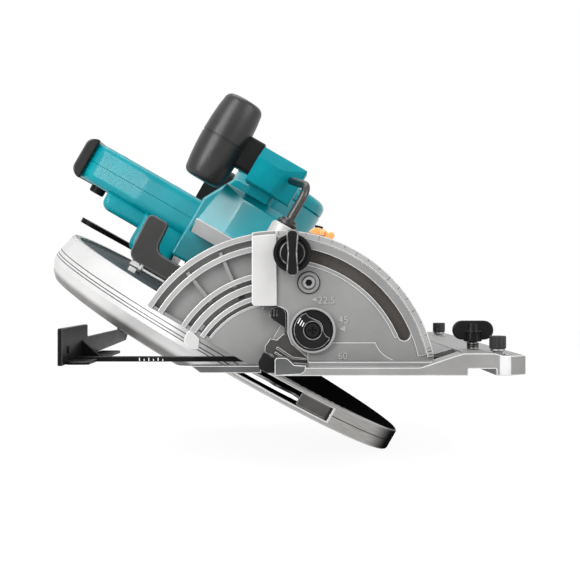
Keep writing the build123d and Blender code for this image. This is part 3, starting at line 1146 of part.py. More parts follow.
with BuildPart() as rubber_zone:
    with BuildSketch(at_x(HANDLE_X0 - 5)):
        with BuildLine():
            Polyline(*RUBBER, close=True)
        make_face()
    extrude(amount=HANDLE_X1 - HANDLE_X0 + 10)

with BuildPart() as grip_rubber:
    add(handle_body.part)
    add(rubber_zone.part, mode=Mode.INTERSECT)
keep(grip_rubber, "grip_rubber", tilts=True)

TRIGGER_Y = (TRIGGER_Y0, TRIGGER_Y0 + TRIGGER_L)
TRIGGER_X = (HANDLE_SEAM_X - TRIGGER_W / 2, HANDLE_SEAM_X + TRIGGER_W / 2)
TRIGGER_Z = (161.0, 183.0)
SWITCH_Y1 = TRIGGER_Y0 + TRIGGER_L + 24
SWITCH_Z = (177.5, 188.0)
LOBE_Y = (-44.0, 44.0)
REAR_LOBE_X0 = 40.0
REAR_LOBE = [(112, HANDLE_FLOOR), (112, 168), (130, 162), (150, 150), (152, HANDLE_FLOOR)]


def handle_cavity(x0, x1):
    """Room for the switch and wiring inside the grip and the rear post."""
    block((x0, x1), (TRIGGER_Y0 - 1, SWITCH_Y1 + 1), (SWITCH_Z[0], SWITCH_Z[1] + 1), mode=Mode.SUBTRACT)
    block((x0, x1), (118, 146), (HANDLE_FLOOR + 2, 150), mode=Mode.SUBTRACT)
    block((max(x0, TRIGGER_X[0] - SEAT), min(x1, TRIGGER_X[1] + SEAT)), (TRIGGER_Y[0] - SEAT, TRIGGER_Y[1] + SEAT),
          (TRIGGER_Z[0] - 5, TRIGGER_Z[1] + TRIGGER_TRAVEL + 1), mode=Mode.SUBTRACT)


with BuildPart() as handle_left:
    add(handle_body.part)
    add(rubber_zone.part, mode=Mode.SUBTRACT)
    block((HANDLE_SEAM_X, HANDLE_X1 + 1), (-200, 300), (0, 300), mode=Mode.SUBTRACT)
    block((LOBE_X0, HANDLE_X0 + 2), (LOBE_Y[0], MOTOR_Y + MOTOR_R - 1), (SADDLE_Z, LOBE_TOP))
    fillet(handle_left.edges().filter_by(Axis.Y).group_by(Axis.X)[0].sort_by(Axis.Z)[-1], radius=7)
    block((UPPER_LOBE_X0, HANDLE_X0 + 2), (LOBE_Y[0] + 4, -4), (LOBE_TOP - 1, UPPER_LOBE_TOP))
    lobe_edges = handle_left.edges().filter_by(Axis.Y).filter_by_position(Axis.X, UPPER_LOBE_X0 - 0.1, UPPER_LOBE_X0 + 0.1)
    fillet(lobe_edges.sort_by(Axis.Z)[-1], radius=6)
    with BuildSketch(at_x(REAR_LOBE_X0)):
        with BuildLine():
            Polyline(*REAR_LOBE, close=True)
        make_face()
    extrude(amount=HANDLE_X0 + 2 - REAR_LOBE_X0)
    handle_cavity(HANDLE_X0 + HANDLE_WALL, HANDLE_SEAM_X)
    rod(at_x(HANDLE_X0 - 1), (LOCK_Y, LOCK_Z), LOCK_R + SEAT, 14, mode=Mode.SUBTRACT)
keep(handle_left, "handle_left", tilts=True)

with BuildPart() as handle_right:
    add(handle_body.part)
    add(rubber_zone.part, mode=Mode.SUBTRACT)
    block((HANDLE_X0 - 1, HANDLE_SEAM_X), (-200, 300), (0, 300), mode=Mode.SUBTRACT)
    handle_cavity(HANDLE_SEAM_X, HANDLE_X1 - HANDLE_WALL)
keep(handle_right, "handle_right", tilts=True)

# Screws of the case and the handle: round heads with hexagon and cross recesses
HANDLE_SCREWS = [(-30, 128), (-24, 176), (92, 172), (134, 158), (140, 128)]
with BuildPart() as body_screws:
    for angle in CASE_SCREW_ANGLES:
        place = (CASE_SCREW_RS[0] * cos(radians(angle)), AXLE_Z + CASE_SCREW_RS[0] * sin(radians(angle)))
        rod(at_x(CASE_X0), place, CASE_SCREW_RS[1], -2.4)
        with BuildSketch(at_x(CASE_X0 - 2.4)):
            with Locations(place):
                RegularPolygon(radius=2.0, side_count=6)
        extrude(amount=1.4, mode=Mode.SUBTRACT)
    for place in HANDLE_SCREWS:
        rod(at_x(HANDLE_X1), place, 3.2, 1.6)
        with BuildSketch(at_x(HANDLE_X1 + 1.6)):
            with Locations(place):
                Rectangle(3.6, 0.9)
                Rectangle(0.9, 3.6)
        extrude(amount=-1.0, mode=Mode.SUBTRACT)
keep(body_screws, "body_screws", tilts=True)

with BuildPart() as trigger:
    with BuildSketch(at_x(TRIGGER_X[0])) as trigger_side:
        with BuildLine():
            Polyline((TRIGGER_Y[0], TRIGGER_Z[1]), (TRIGGER_Y[0], TRIGGER_Z[0] + 3), (TRIGGER_Y[0] + 7, TRIGGER_Z[0]),
                     (TRIGGER_Y[1], TRIGGER_Z[0] + 6), (TRIGGER_Y[1], TRIGGER_Z[1]), close=True)
        make_face()
        fillet(trigger_side.vertices().group_by(Axis.Y)[0], radius=4)
    extrude(amount=TRIGGER_W)
keep(trigger, "trigger", tilts=True)

with BuildPart() as switch_unit:
    block((HANDLE_X0 + HANDLE_WALL + 1, HANDLE_X1 - HANDLE_WALL - 1), (TRIGGER_Y[1] + 2, SWITCH_Y1), SWITCH_Z)
keep(switch_unit, "switch_unit", tilts=True)

with BuildPart() as lock_off_button:
    rod(at_x(HANDLE_X0 - LOCK_TRAVEL - 1.5), (LOCK_Y, LOCK_Z), LOCK_R, 12)
    fillet(lock_off_button.faces().sort_by(Axis.X)[0].edges(), radius=1.4)
keep(lock_off_button, "lock_off_button", tilts=True)

# Shaft lock: a button on the gear housing's lower front
with BuildPart() as shaft_lock_button:
    rod(at_y(SHAFT_LOCK_Y), SHAFT_LOCK_AT, SHAFT_LOCK_R, SHAFT_LOCK_L)
    fillet(shaft_lock_button.faces().sort_by(Axis.Y)[0].edges(), radius=1.5)
keep(shaft_lock_button, "shaft_lock_button", tilts=True)

# Front grip: teal post, black neck and a rubber barrel along X
with BuildPart() as front_grip_post:
    with BuildSketch(at_z(POST_Z0)) as post_plan:
        with Locations(((POST_X0 + POST_X1) / 2, GRIP_Y)):
            Rectangle(POST_X1 - POST_X0, POST_D)
        front_right = post_plan.vertices().group_by(Axis.X)[-1].sort_by(Axis.Y)[0]
        chamfer(front_right, length=POST_FACET)
        fillet(post_plan.vertices().group_by(Axis.Y)[-1], radius=5)
    extrude(amount=NECK_Z0 - POST_Z0)
    block((BLOCK_X1, POST_X0 + 8), (GRIP_Y - 9, BLOCK_Y + 40), (POST_Z0 + 13, NECK_Z0 - 2))
    pin_hole = Plane(origin=PIN_END, z_dir=(PIN_END - pin_corner).normalized())
    rod(pin_hole.offset(-25), (0, 0), PIVOT_ROD_R, 26, mode=Mode.SUBTRACT)
keep(front_grip_post, "front_grip_post", tilts=True)

GRIP_SHOULDER_R = GRIP_END_R + 1
GRIP_ROUND = 4.0
with BuildPart() as front_grip:
    with BuildSketch(at_y(GRIP_Y)):
        with BuildLine():
            crown = ThreePointArc((GRIP_X0 + GRIP_ROUND, GRIP_Z + GRIP_SHOULDER_R),
                                  ((GRIP_X0 + GRIP_X1) / 2, GRIP_Z + GRIP_R),
                                  (GRIP_X1 - GRIP_ROUND, GRIP_Z + GRIP_SHOULDER_R))
            Polyline(crown @ 1, (GRIP_X1, GRIP_Z + GRIP_SHOULDER_R - 5), (GRIP_X1, GRIP_Z), (GRIP_X0, GRIP_Z),
                     (GRIP_X0, GRIP_Z + GRIP_SHOULDER_R - 5), crown @ 0)
        make_face()
    revolve(axis=Axis((0, GRIP_Y, GRIP_Z), (1, 0, 0)))
    with BuildSketch(at_z(NECK_Z0)):
        with Locations(((POST_X0 + POST_X1) / 2, GRIP_Y)):
            RectangleRounded(POST_X1 - POST_X0 - 1, 24, 6)
    extrude(amount=GRIP_Z - NECK_Z0)
keep(front_grip, "front_grip", tilts=True)

# Battery mount under the handle, battery pack on its rail, and the pack's release button
RAIL_X = (BATTERY_MID_X - RAIL_W / 2, BATTERY_MID_X + RAIL_W / 2)
BATTERY_Z1 = MOUNT_Z0 - RUN
BATTERY_Y1 = BATTERY_Y0 + BATTERY_L
MOUNT_Y1 = BATTERY_Y0 + MOUNT_L
with BuildPart() as battery_mount:
    block((BATTERY_X0 + 2, BATTERY_X1 - 2), (BATTERY_Y0 - 4, MOUNT_Y1), (MOUNT_Z0, HANDLE_FLOOR))
    block((BATTERY_X0 + 6, BATTERY_X1 - 6), (BATTERY_Y0 - 12, BATTERY_Y0 - RUN), (MOUNT_Z0 - 12, MOUNT_Z0))
    block((BATTERY_X0 + 6, BATTERY_X1 - 6), (BATTERY_Y0 - 12, BATTERY_Y0 - 4), (MOUNT_Z0, HANDLE_FLOOR))
    block((RAIL_X[0] - RUN, RAIL_X[1] + RUN), (BATTERY_Y0 - RUN, MOUNT_Y1 + 1), (MOUNT_Z0, MOUNT_Z0 + RAIL_H + RUN),
          mode=Mode.SUBTRACT)
keep(battery_mount, "battery_mount", tilts=True)

with BuildPart() as battery_pack:
    block((BATTERY_X0, BATTERY_X1), (BATTERY_Y0, BATTERY_Y1), (BATTERY_Z1 - BATTERY_H, BATTERY_Z1))
    fillet(battery_pack.edges().filter_by(Axis.Z), radius=6)
    fillet(battery_pack.faces().sort_by(Axis.Z)[0].edges(), radius=4)
    block(RAIL_X, (BATTERY_Y0 + 4, MOUNT_Y1 - 6), (BATTERY_Z1, MOUNT_Z0 + RAIL_H))
    block((BATTERY_MID_X - 16, BATTERY_MID_X + 16), (BATTERY_Y1 - 10, BATTERY_Y1 + 1),
          (BATTERY_Z1 - 14, BATTERY_Z1 + 1), mode=Mode.SUBTRACT)
keep(battery_pack, "battery_pack", tilts=True)

with BuildPart() as battery_release:
    block((BATTERY_MID_X - 15, BATTERY_MID_X + 15), (BATTERY_Y1 - 9.7, BATTERY_Y1 - 1), (BATTERY_Z1 - 8, BATTERY_Z1))
    fillet(battery_release.edges().filter_by(Axis.Z), radius=2)
keep(battery_release, "battery_release", tilts=True)

# Controller board in the motor housing's front block
with BuildPart() as controller_board:
    block((BLOCK_X0 + MOTOR_WALL, BLOCK_X1 - MOTOR_WALL), (BLOCK_Y + 18, BLOCK_Y + 24),
          (BLOCK_Z0 + MOTOR_WALL, BLOCK_Z1 - 8 - MOTOR_WALL))
keep(controller_board, "controller_board", tilts=True)
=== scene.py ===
# %% [markdown]
# # A cordless circular saw, tipped over to cut a bevel
# The solids of the saw come in as a fixed frame: every one of them already sits where it belongs, with the
# saw body leaning 60 degrees over its base. This lesson dresses that frame. It makes the finishes first,
# then models again the pieces whose moulded shape matters most to the eye, and leaves the good solids as
# they are.

# %% Load the frame
import json
from math import acos, asin, atan2, cos, degrees, pi, radians, sin, sqrt, tan

import bmesh
import bpy
from mathutils import Matrix, Vector


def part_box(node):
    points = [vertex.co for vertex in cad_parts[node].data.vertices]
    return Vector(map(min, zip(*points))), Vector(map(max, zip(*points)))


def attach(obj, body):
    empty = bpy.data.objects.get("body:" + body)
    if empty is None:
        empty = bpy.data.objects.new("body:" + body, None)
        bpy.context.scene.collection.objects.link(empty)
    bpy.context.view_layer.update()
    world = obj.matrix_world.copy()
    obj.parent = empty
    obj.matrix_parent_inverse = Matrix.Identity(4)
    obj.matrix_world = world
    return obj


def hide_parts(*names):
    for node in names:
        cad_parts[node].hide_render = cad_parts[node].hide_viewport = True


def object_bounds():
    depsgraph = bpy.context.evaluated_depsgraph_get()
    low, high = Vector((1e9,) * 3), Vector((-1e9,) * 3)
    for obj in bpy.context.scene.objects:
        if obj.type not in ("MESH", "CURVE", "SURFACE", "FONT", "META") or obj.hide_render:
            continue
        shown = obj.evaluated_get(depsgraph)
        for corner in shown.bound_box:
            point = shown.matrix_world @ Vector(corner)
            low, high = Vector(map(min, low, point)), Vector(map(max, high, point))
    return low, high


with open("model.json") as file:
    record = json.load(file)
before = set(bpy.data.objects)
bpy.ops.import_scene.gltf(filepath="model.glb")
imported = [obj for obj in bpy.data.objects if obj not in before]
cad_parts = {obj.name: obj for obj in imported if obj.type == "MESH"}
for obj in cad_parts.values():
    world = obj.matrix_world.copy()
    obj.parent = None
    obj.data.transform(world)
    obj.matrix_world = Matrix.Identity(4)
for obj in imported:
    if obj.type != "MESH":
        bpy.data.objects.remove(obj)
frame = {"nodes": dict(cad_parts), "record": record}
cad_low, cad_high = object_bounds()
nodes = frame["nodes"]
print("solids in the frame:", len(nodes))
print("box from", [round(v, 3) for v in cad_low], "to", [round(v, 3) for v in cad_high])

# %% [markdown]
# ## The camera
# A product shot like this is taken from straight in front, a little above the sole plate, with a long lens
# so that the plate's dials keep their true shape. The lens is worked out from the distance at which one
# pixel of the square picture covers the right number of millimetres.

# %% Camera
CAMERA_AT = (0.007, -0.940, 0.052)
PIXELS, FOCAL_PIXELS = 580, 1190
SENSOR = 36.0

camera_data = bpy.data.cameras.new("camera")
camera_data.sensor_width = SENSOR
camera_data.lens = SENSOR * FOCAL_PIXELS / PIXELS
camera_data.clip_start = 0.01
camera = bpy.data.objects.new("camera", camera_data)
camera.location = CAMERA_AT
camera.rotation_euler = (radians(90), 0, 0)
bpy.context.scene.collection.objects.link(camera)
bpy.context.scene.camera = camera
print("lens", round(camera_data.lens, 1), "mm")

# %% [markdown]
# ## A small language for finishes
# A finish is a little graph of nodes. Written out node by node it is hard to read, so one small class wraps
# a socket and lets shader maths look like arithmetic. Two of its words shape a mask: a ramp that rises
# smoothly from 0 to 1, and a band that is 1 near one value only.

# %% Shader maths
class Value:
    """One output socket of a material, with the usual operators"""

    def __init__(self, paint, socket):
        self.paint, self.socket = paint, socket

    def math(self, operation, *numbers):
        return self.paint.node("Math", {"operation": operation}, dict(enumerate(numbers)))

    def __add__(self, other):
        return self.math("ADD", self, other)

    def __sub__(self, other):
        return self.math("SUBTRACT", self, other)

    def __rsub__(self, other):
        return self.math("SUBTRACT", other, self)

    def __mul__(self, other):
        return self.math("MULTIPLY", self, other)

    def __abs__(self):
        return self.math("ABSOLUTE", self)

    __radd__, __rmul__ = __add__, __mul__

    def root(self):
        return self.math("SQRT", self)

    def ramp(self, low, high):
        """0 below low, 1 above high, smooth between"""
        settings = {"interpolation_type": "SMOOTHSTEP"}
        return self.paint.node("MapRange", settings, {"Value": self, "From Min": low, "From Max": high})

    def band(self, middle, half, soft):
        """1 within half of middle, 0 further away"""
        return 1.0 - abs(self - middle).ramp(half - soft, half + soft)


print("a value knows:", [word for word in vars(Value) if not word.startswith("_")])

# %% [markdown]
# ## A material and its nodes
# A second class wraps a material and makes every other kind of node. Anything that is the same all over a
# surface is set on the shader itself. Patterns read the point on the object, and those that belong to the
# saw body can read it as it would be with the saw upright, which makes places on it easy to say.

# %% A material to paint with
BEVEL = radians(60)
PIVOT_DEPTH = 0.010
UPRIGHT_SHIFT = (PIVOT_DEPTH * sin(BEVEL), 0, -PIVOT_DEPTH * (1 - cos(BEVEL)))


class Paint:
    """A material built round the Principled shader"""

    def __init__(self, name, **plain):
        self.material = bpy.data.materials.new(name)
        self.material.use_nodes = True
        self.tree = self.material.node_tree
        self.shader = self.tree.nodes["Principled BSDF"]
        self.put(**plain)

    def feed(self, socket, value):
        if isinstance(value, Value):
            self.tree.links.new(value.socket, socket)
        else:
            socket.default_value = value

    def node(self, kind, settings=None, sockets=None, output=0):
        made = self.tree.nodes.new("ShaderNode" + kind)
        for name, value in (settings or {}).items():
            setattr(made, name, value)
        for name, value in (sockets or {}).items():
            self.feed(made.inputs[name], value)
        return Value(self, made.outputs[output])

    def put(self, **sockets):
        for name, value in sockets.items():
            self.feed(self.shader.inputs[name.replace("_", " ")], value)

    def place(self):
        """The point on the part as it stands"""
        return self.node("TexCoord", output="Object")

    def mapped(self, point, **sockets):
        return self.node("Mapping", {"vector_type": "POINT"}, {"Vector": point, **sockets})

    def upright(self):
        """The point with the saw body turned back upright"""
        return self.mapped(self.place(), Rotation=(0, BEVEL, 0), Location=UPRIGHT_SHIFT)

    def noise(self, point, scale, detail=3.0):
        return self.node("TexNoise", None, {"Vector": point, "Scale": scale, "Detail": detail}, "Fac")

    def blend(self, factor, first, second):
        return self.node("Mix", {"data_type": "RGBA"}, {"Factor": factor, 6: first, 7: second}, 2)

    def bump(self, height, strength, distance):
        return self.node("Bump", None, {"Height": height, "Strength": strength, "Distance": distance})


def grey(level, warm=0.0):
    return (level * (1 + warm), level, level * (1 - warm), 1.0)


print("upright mapping shift", [round(v, 5) for v in UPRIGHT_SHIFT])

# %% [markdown]
# ## Plastics and rubber
# The saw body is moulded in glass-filled nylon: coloured right through, with a fine spark texture from the
# mould that spreads every highlight. Where the mould is polished, as on the motor housing, the same teal is
# glossy. The grip's post is duller, and its teal is darker as painted shade. The grips are a soft rubber.
# The pale finish on broken edges is partly rubbing by hands and partly a painted highlight. All of them
# share one recipe and differ in colour, grain and gloss.

# %% Moulded finishes
def moulded(name, dark, light, rough, grain, depth, patch=35.0, shine=0.4):
    paint = Paint(name, IOR=1.5, Specular_IOR_Level=shine)
    point = paint.place()
    cloud = paint.noise(point, patch, 4.0).ramp(0.3, 0.7)
    spark = paint.noise(point, grain, 2.0)
    paint.put(
        Base_Color=paint.blend(cloud, dark, light),
        Roughness=rough - 0.05 + 0.06 * cloud + 0.05 * spark,
        Normal=paint.bump(spark, depth, 0.0004),
    )
    return paint.material


TEAL_TONES = ((0.0, 0.265, 0.315, 1), (0.001, 0.315, 0.370, 1))
# Darker teal for the grip's post: painted shade
SHADED_TEAL_TONES = ((0.0, 0.215, 0.26, 1), (0.001, 0.255, 0.305, 1))
TEAL = moulded("teal plastic", *TEAL_TONES, 0.24, 1500.0, 0.08, shine=0.28)
GLOSS_TEAL = moulded("glossy teal plastic", *TEAL_TONES, 0.24, 1500.0, 0.06, shine=0.60)
# The post's teal: darker as painted shade, and duller in gloss
SHADED_TEAL = moulded("dull teal plastic", *SHADED_TEAL_TONES, 0.30, 1500.0, 0.10, shine=0.10)
BLACK = moulded("black plastic", grey(0.008), grey(0.013), 0.30, 1300.0, 0.14, shine=0.10)
GLOSS_BLACK = moulded("glossy black plastic", grey(0.009), grey(0.015), 0.22, 1300.0, 0.06, shine=0.45)
MATT_TONES = (grey(0.030, 0.03), grey(0.042, 0.03))
MATT_BLACK = moulded("matt black plastic", *MATT_TONES, 0.50, 1100.0, 0.20, shine=0.24)
PACK = moulded("battery plastic", grey(0.014), grey(0.021), 0.42, 1000.0, 0.22, shine=0.26)
RUBBER = moulded("black rubber", grey(0.012), grey(0.022), 0.32, 800.0, 0.16, 22.0, shine=0.42)
# Pale edge finish: partly wear, partly a painted highlight on the bevels
WORN_EDGE_HIGHLIGHT = moulded("worn black edge with painted highlight", grey(0.06), grey(0.34), 0.32, 900.0, 0.10, 260.0)
# Edge finish for the lever and wing screw: partly rubbing, partly a painted highlight
RUBBED_EDGE_HIGHLIGHT = moulded("rubbed edge with painted highlight", grey(0.075), grey(0.12), 0.42, 900.0, 0.10, shine=0.3)
ORANGE = moulded("orange plastic", (0.90, 0.33, 0.085, 1), (0.98, 0.43, 0.13, 1), 0.36, 900.0, 0.10)
PALE_ORANGE = moulded("rubbed orange edge", (0.96, 0.52, 0.24, 1), (0.98, 0.62, 0.34, 1), 0.36, 900.0, 0.08)
LENS = moulded("gauge lens", (0.30, 0.42, 0.40, 1), (0.42, 0.55, 0.52, 1), 0.22, 900.0, 0.04)
WHITE = moulded("white paint", grey(0.84), grey(0.90), 0.36, 900.0, 0.06)
print("moulded finishes:", TEAL.name, BLACK.name, RUBBER.name, ORANGE.name, WHITE.name)

# %% [markdown]
# ## Castings
# The base and plates are die-cast aluminium: matt, faintly mottled, with tiny pits. Machined faces are
# brighter than the raw skin. The bright finish on broken edges is partly burnish from handling and partly
# a painted highlight. Coated steel has the same even grain, so it uses the same recipe with less metal in it.

# %% Cast finishes
def cast(name, dark, light, rough, metal, depth=0.18, scale=420.0, shine=0.5):
    paint = Paint(name, Metallic=metal, Specular_IOR_Level=shine)
    point = paint.place()
    mottle = paint.noise(point, 45.0, 5.0).ramp(0.25, 0.75)
    pits = paint.noise(point, scale, 3.0)
    paint.put(
        Base_Color=paint.blend(mottle, dark, light),
        Roughness=rough - 0.06 + 0.10 * pits + 0.04 * mottle,
        Normal=paint.bump(pits, depth, 0.0004),
    )
    return paint.material


CAST = cast("cast plate", grey(0.215, 0.008), grey(0.255, 0.008), 0.48, 0.15)
BRIGHT_CAST = cast("machined casting", grey(0.52, 0.008), grey(0.58, 0.008), 0.40, 0.15, 0.10)
# Edge finish: partly burnish, partly a painted highlight on the bevels
EDGE_HIGHLIGHT_CAST = cast("burnished edge with painted highlight", grey(0.62), grey(0.74), 0.30, 0.20, 0.08)
BASE_CAST = cast("cast base", grey(0.235, 0.012), grey(0.28, 0.012), 0.46, 0.25)
CREST_CAST = cast("crest casting", grey(0.33, 0.008), grey(0.38, 0.008), 0.42, 0.20, 0.10)
DARK_CAST = cast("dark casting", grey(0.050, 0.05), grey(0.085, 0.06), 0.44, 0.20, shine=0.3)
CORNER_CAST = cast("corner casting", grey(0.070, -0.02), grey(0.110, -0.02), 0.55, 0.1, 0.5, 900.0, 0.3)
BLACK_STEEL = cast("black coated steel", grey(0.006), grey(0.011), 0.36, 0.0, 0.10, shine=0.06)
FENCE_EDGE = cast("rubbed black edge", grey(0.05), grey(0.09), 0.36, 0.2, shine=0.3)
TRACK = cast("oiled track", (0.058, 0.050, 0.046, 1), (0.080, 0.070, 0.064, 1), 0.50, 0.3, 0.4, 900.0)
SPACER = cast("spacer steel", grey(0.075, 0.03), grey(0.115, 0.05), 0.36, 0.5)
print("cast finishes:", CAST.name, BASE_CAST.name, DARK_CAST.name, BLACK_STEEL.name)

# %% [markdown]
# ## Bare steel
# Turned and ground steel is brighter and carries fine lines along the way the tool went. Its noise is
# stretched along one axis, which draws the specks out into those lines.

# %% Steel finishes
ALONG_Y = (1, 0.08, 1)


def drawn(name, dark, light, rough, along=ALONG_Y):
    paint = Paint(name, Metallic=1.0)
    lines = paint.noise(paint.mapped(paint.place(), Scale=along), 900.0, 3.0)
    paint.put(
        Base_Color=paint.blend(lines.ramp(0.3, 0.7), dark, light),
        Roughness=rough - 0.06 + 0.12 * lines,
        Normal=paint.bump(lines, 0.04, 0.0002),
    )
    return paint.material


STEEL = drawn("bright steel", grey(0.50), grey(0.62), 0.30)
SATIN_STEEL = drawn("satin steel", grey(0.30), grey(0.38), 0.34)
DARK_STEEL = drawn("dark steel", grey(0.055, 0.03), grey(0.085, 0.03), 0.36)
LIP_HIGHLIGHT_STEEL = drawn("burnished lip with painted highlight", grey(0.62), grey(0.74), 0.30, (1, 0.1, 1))
print("steel finishes:", STEEL.name, SATIN_STEEL.name, DARK_STEEL.name, LIP_HIGHLIGHT_STEEL.name)

# %% [markdown]
# ## The blade case, a finish that knows where it is
# The case is a bright satin shell, but the face towards the motor is darker inside its rolled rim. The outer
# side is a darker grey, painted shade for the side turned away from the lamps, and fine seams run round the
# rim where its pressings meet. One material can hold all of that. Its masks are worked out from the point's
# place on the upright saw: how far across it lies, and how far out from the blade's axle.

# %% Case finish
BLADE_Z = 0.033
CASE_FACE_X, CASE_RIM_R = 0.0092, 0.1430
CASE_SEAMS = (-0.0026, -0.0056, -0.0076)


def polar(paint):
    """Across the saw, out from the blade's axle and up from it, in the upright saw"""
    point = paint.upright()
    across, along, up = [paint.node("SeparateXYZ", None, {"Vector": point}, axis) for axis in "XYZ"]
    up = up - BLADE_Z
    return across, (along * along + up * up).root(), up


def case_finish():
    paint = Paint("satin case", Metallic=0.15)
    across, out, _ = polar(paint)
    within = 1.0 - out.ramp(CASE_RIM_R, CASE_RIM_R + 0.0006)
    inside = across.ramp(CASE_FACE_X - 0.0004, CASE_FACE_X) * within
    # The outer side is painted darker grey: painted shade.
    shaded_side = 1.0 - across.ramp(-0.0204, -0.0160)
    first, second, third = [across.band(x, 0.00034, 0.0001) for x in CASE_SEAMS]
    seams = (first + second + third) * out.ramp(0.1470, 0.1474)
    mottle = paint.noise(paint.place(), 40.0, 5.0).ramp(0.25, 0.75)
    pits = paint.noise(paint.place(), 500.0, 3.0)
    bright = paint.blend(mottle, grey(0.65, 0.004), grey(0.71, 0.004))
    # Darker grey for the outer side: painted shade.
    painted_shade = paint.blend(mottle, grey(0.12, 0.02), grey(0.20, 0.03))
    sided = paint.blend(shaded_side, paint.blend(seams, bright, grey(0.05)), painted_shade)
    paint.put(
        Base_Color=paint.blend(inside, sided, (0.070, 0.086, 0.092, 1)),
        Roughness=0.34 + 0.10 * pits + 0.08 * inside,
        Normal=paint.bump(pits * 0.3 - seams, 0.25, 0.0004),
    )
    return paint.material


CASE = case_finish()
print("case finish:", CASE.name, "with", len(CASE.node_tree.nodes), "nodes")

# %% [markdown]
# ## The swinging guard
# The guard is blacked sheet steel. Chips polish its rim, so the black is worn through to satin there. That
# satin fades with height to black at the lower end of the rim: partly wear, and partly painted reflection
# and shade for the way the rim turns from the lamps. The two folded edges carry a painted highlight. A
# groove runs round the rim.

# %% Guard finish
def guard_finish():
    paint = Paint("guard metal", Specular_IOR_Level=0.0)
    across, out, up = polar(paint)
    rim = out.ramp(0.1432, 0.1436)
    groove = across.band(-0.0037, 0.00030, 0.00012) * rim
    # The satin fades in with height: partly wear, partly painted reflection and shade that leave the lower
    # end black.
    worn = up.ramp(-0.1380, -0.1180) * rim
    # The two folded edges are painted bright: a painted highlight.
    edge = (across.band(-0.0122, 0.0008, 0.0004) + across.band(0.0047, 0.0008, 0.0004)) * rim
    lines = paint.noise(paint.mapped(paint.upright(), Scale=(14.0, 0.6, 0.6)), 120.0, 4.0)
    satin = paint.blend(lines.ramp(0.3, 0.7), grey(0.38, 0.03), grey(0.50, 0.03))
    rimmed = paint.blend(worn * (1.0 - groove), grey(0.010), satin)
    paint.put(
        Base_Color=paint.blend(edge * (0.35 + 0.65 * worn), rimmed, grey(0.62)),
        Roughness=0.36 - 0.08 * rim + 0.10 * lines,
        Metallic=0.5 * worn,
        Normal=paint.bump(lines * 0.3 - groove, 0.20, 0.0004),
    )
    return paint.material


GUARD = guard_finish()
print("guard finish:", GUARD.name, "with", len(GUARD.node_tree.nodes), "nodes")

# %% [markdown]
# ## The blade
# The disc is coated black against resin, and ground bright in two places: the rim with its teeth, and the
# hub that the flanges clamp. A noise that depends on the radius alone gives the rings of the grinding.

# %% Blade finish
def blade_finish():
    paint = Paint("coated blade", Specular_IOR_Level=0.2)
    _, out, _ = polar(paint)
    fine = {"W": out, "Scale": 2600.0, "Detail": 2.0}
    rings = paint.node("TexNoise", {"noise_dimensions": "1D"}, fine, "Fac")
    ground = out.ramp(0.1268, 0.1272) + 1.0 - out.ramp(0.0300, 0.0304)
    coat = paint.blend(rings, grey(0.010), grey(0.030))
    paint.put(
        Base_Color=paint.blend(ground, coat, paint.blend(rings, grey(0.38), grey(0.56))),
        Roughness=0.30 + 0.12 * rings,
        Metallic=0.2 + 0.8 * ground,
        Normal=paint.bump(rings, 0.08, 0.0002),
    )
    return paint.material


BLADE = blade_finish()
print("blade finish:", BLADE.name, "with", len(BLADE.node_tree.nodes), "nodes")

# %% [markdown]
# ## A white background
# The picture stands on plain white paper. The world lights the shadows gently, but the camera, reflections
# and clear parts see it as white. A Light Path node tells those rays apart, and a Mix Shader chooses.

# %% World
AMBIENT, PAPER_WHITE = 0.27, 1.0


def seen_as_paper(tree):
    """1 for camera, glossy and transmission rays"""
    path = tree.nodes.new("ShaderNodeLightPath")
    seen = path.outputs["Is Camera Ray"]
    for ray in ("Is Glossy Ray", "Is Transmission Ray"):
        either = tree.nodes.new("ShaderNodeMath")
        either.operation = "MAXIMUM"
        tree.links.new(seen, either.inputs[0])
        tree.links.new(path.outputs[ray], either.inputs[1])
        seen = either.outputs[0]
    return seen


def show_mix(tree, factor, first, second, output):
    """Mixes two shaders into a tree's output"""
    mix = tree.nodes.new("ShaderNodeMixShader")
    for socket, source in zip(mix.inputs, (factor, first.outputs[0], second.outputs[0])):
        tree.links.new(source, socket)
    tree.links.new(mix.outputs[0], tree.nodes[output].inputs["Surface"])


world = bpy.data.worlds.new("paper")
world.use_nodes = True
ambient = world.node_tree.nodes["Background"]
paper = world.node_tree.nodes.new("ShaderNodeBackground")
for background, strength in ((ambient, AMBIENT), (paper, PAPER_WHITE)):
    background.inputs["Color"].default_value = (1, 1, 1, 1)
    background.inputs["Strength"].default_value = strength
show_mix(world.node_tree, seen_as_paper(world.node_tree), ambient, paper, "World Output")
bpy.context.scene.world = world
print("world light", AMBIENT, "shown as", PAPER_WHITE)

# %% [markdown]
# ## The lamps
# A broad key lamp stands high on the left, with a fill on the right. A lamp overhead and behind picks out
# the rims. Two smaller ones in front, low on the left, put the glints on dark plastic that show its shape.
# An area lamp is turned to its aim by the line from one to the other.

# %% Lamps
AIM = Vector((0, -0.05, 0.05))
LAMPS = {
    "key": ((-0.75, -1.15, 1.15), 13.5, 0.8),
    "fill": ((1.2, -1.0, 0.55), 10.0, 1.0),
    "low": ((-1.05, -1.30, 0.50), 7.0, 0.5),
    "top": ((0.1, 0.35, 1.5), 8.0, 1.0),
    "front": ((-0.67, -1.67, 0.54), 3.5, 0.25),
}
for name, (lamp_at, watts, lamp_size) in LAMPS.items():
    lamp_data = bpy.data.lights.new(name, "AREA")
    lamp_data.energy, lamp_data.size = watts, lamp_size
    lamp = bpy.data.objects.new(name, lamp_data)
    lamp.location = lamp_at
    lamp.rotation_euler = (AIM - Vector(lamp_at)).to_track_quat("-Z", "Y").to_euler()
    bpy.context.scene.collection.objects.link(lamp)
bpy.context.scene.view_settings.view_transform = "Standard"
print("lamps:", list(LAMPS))

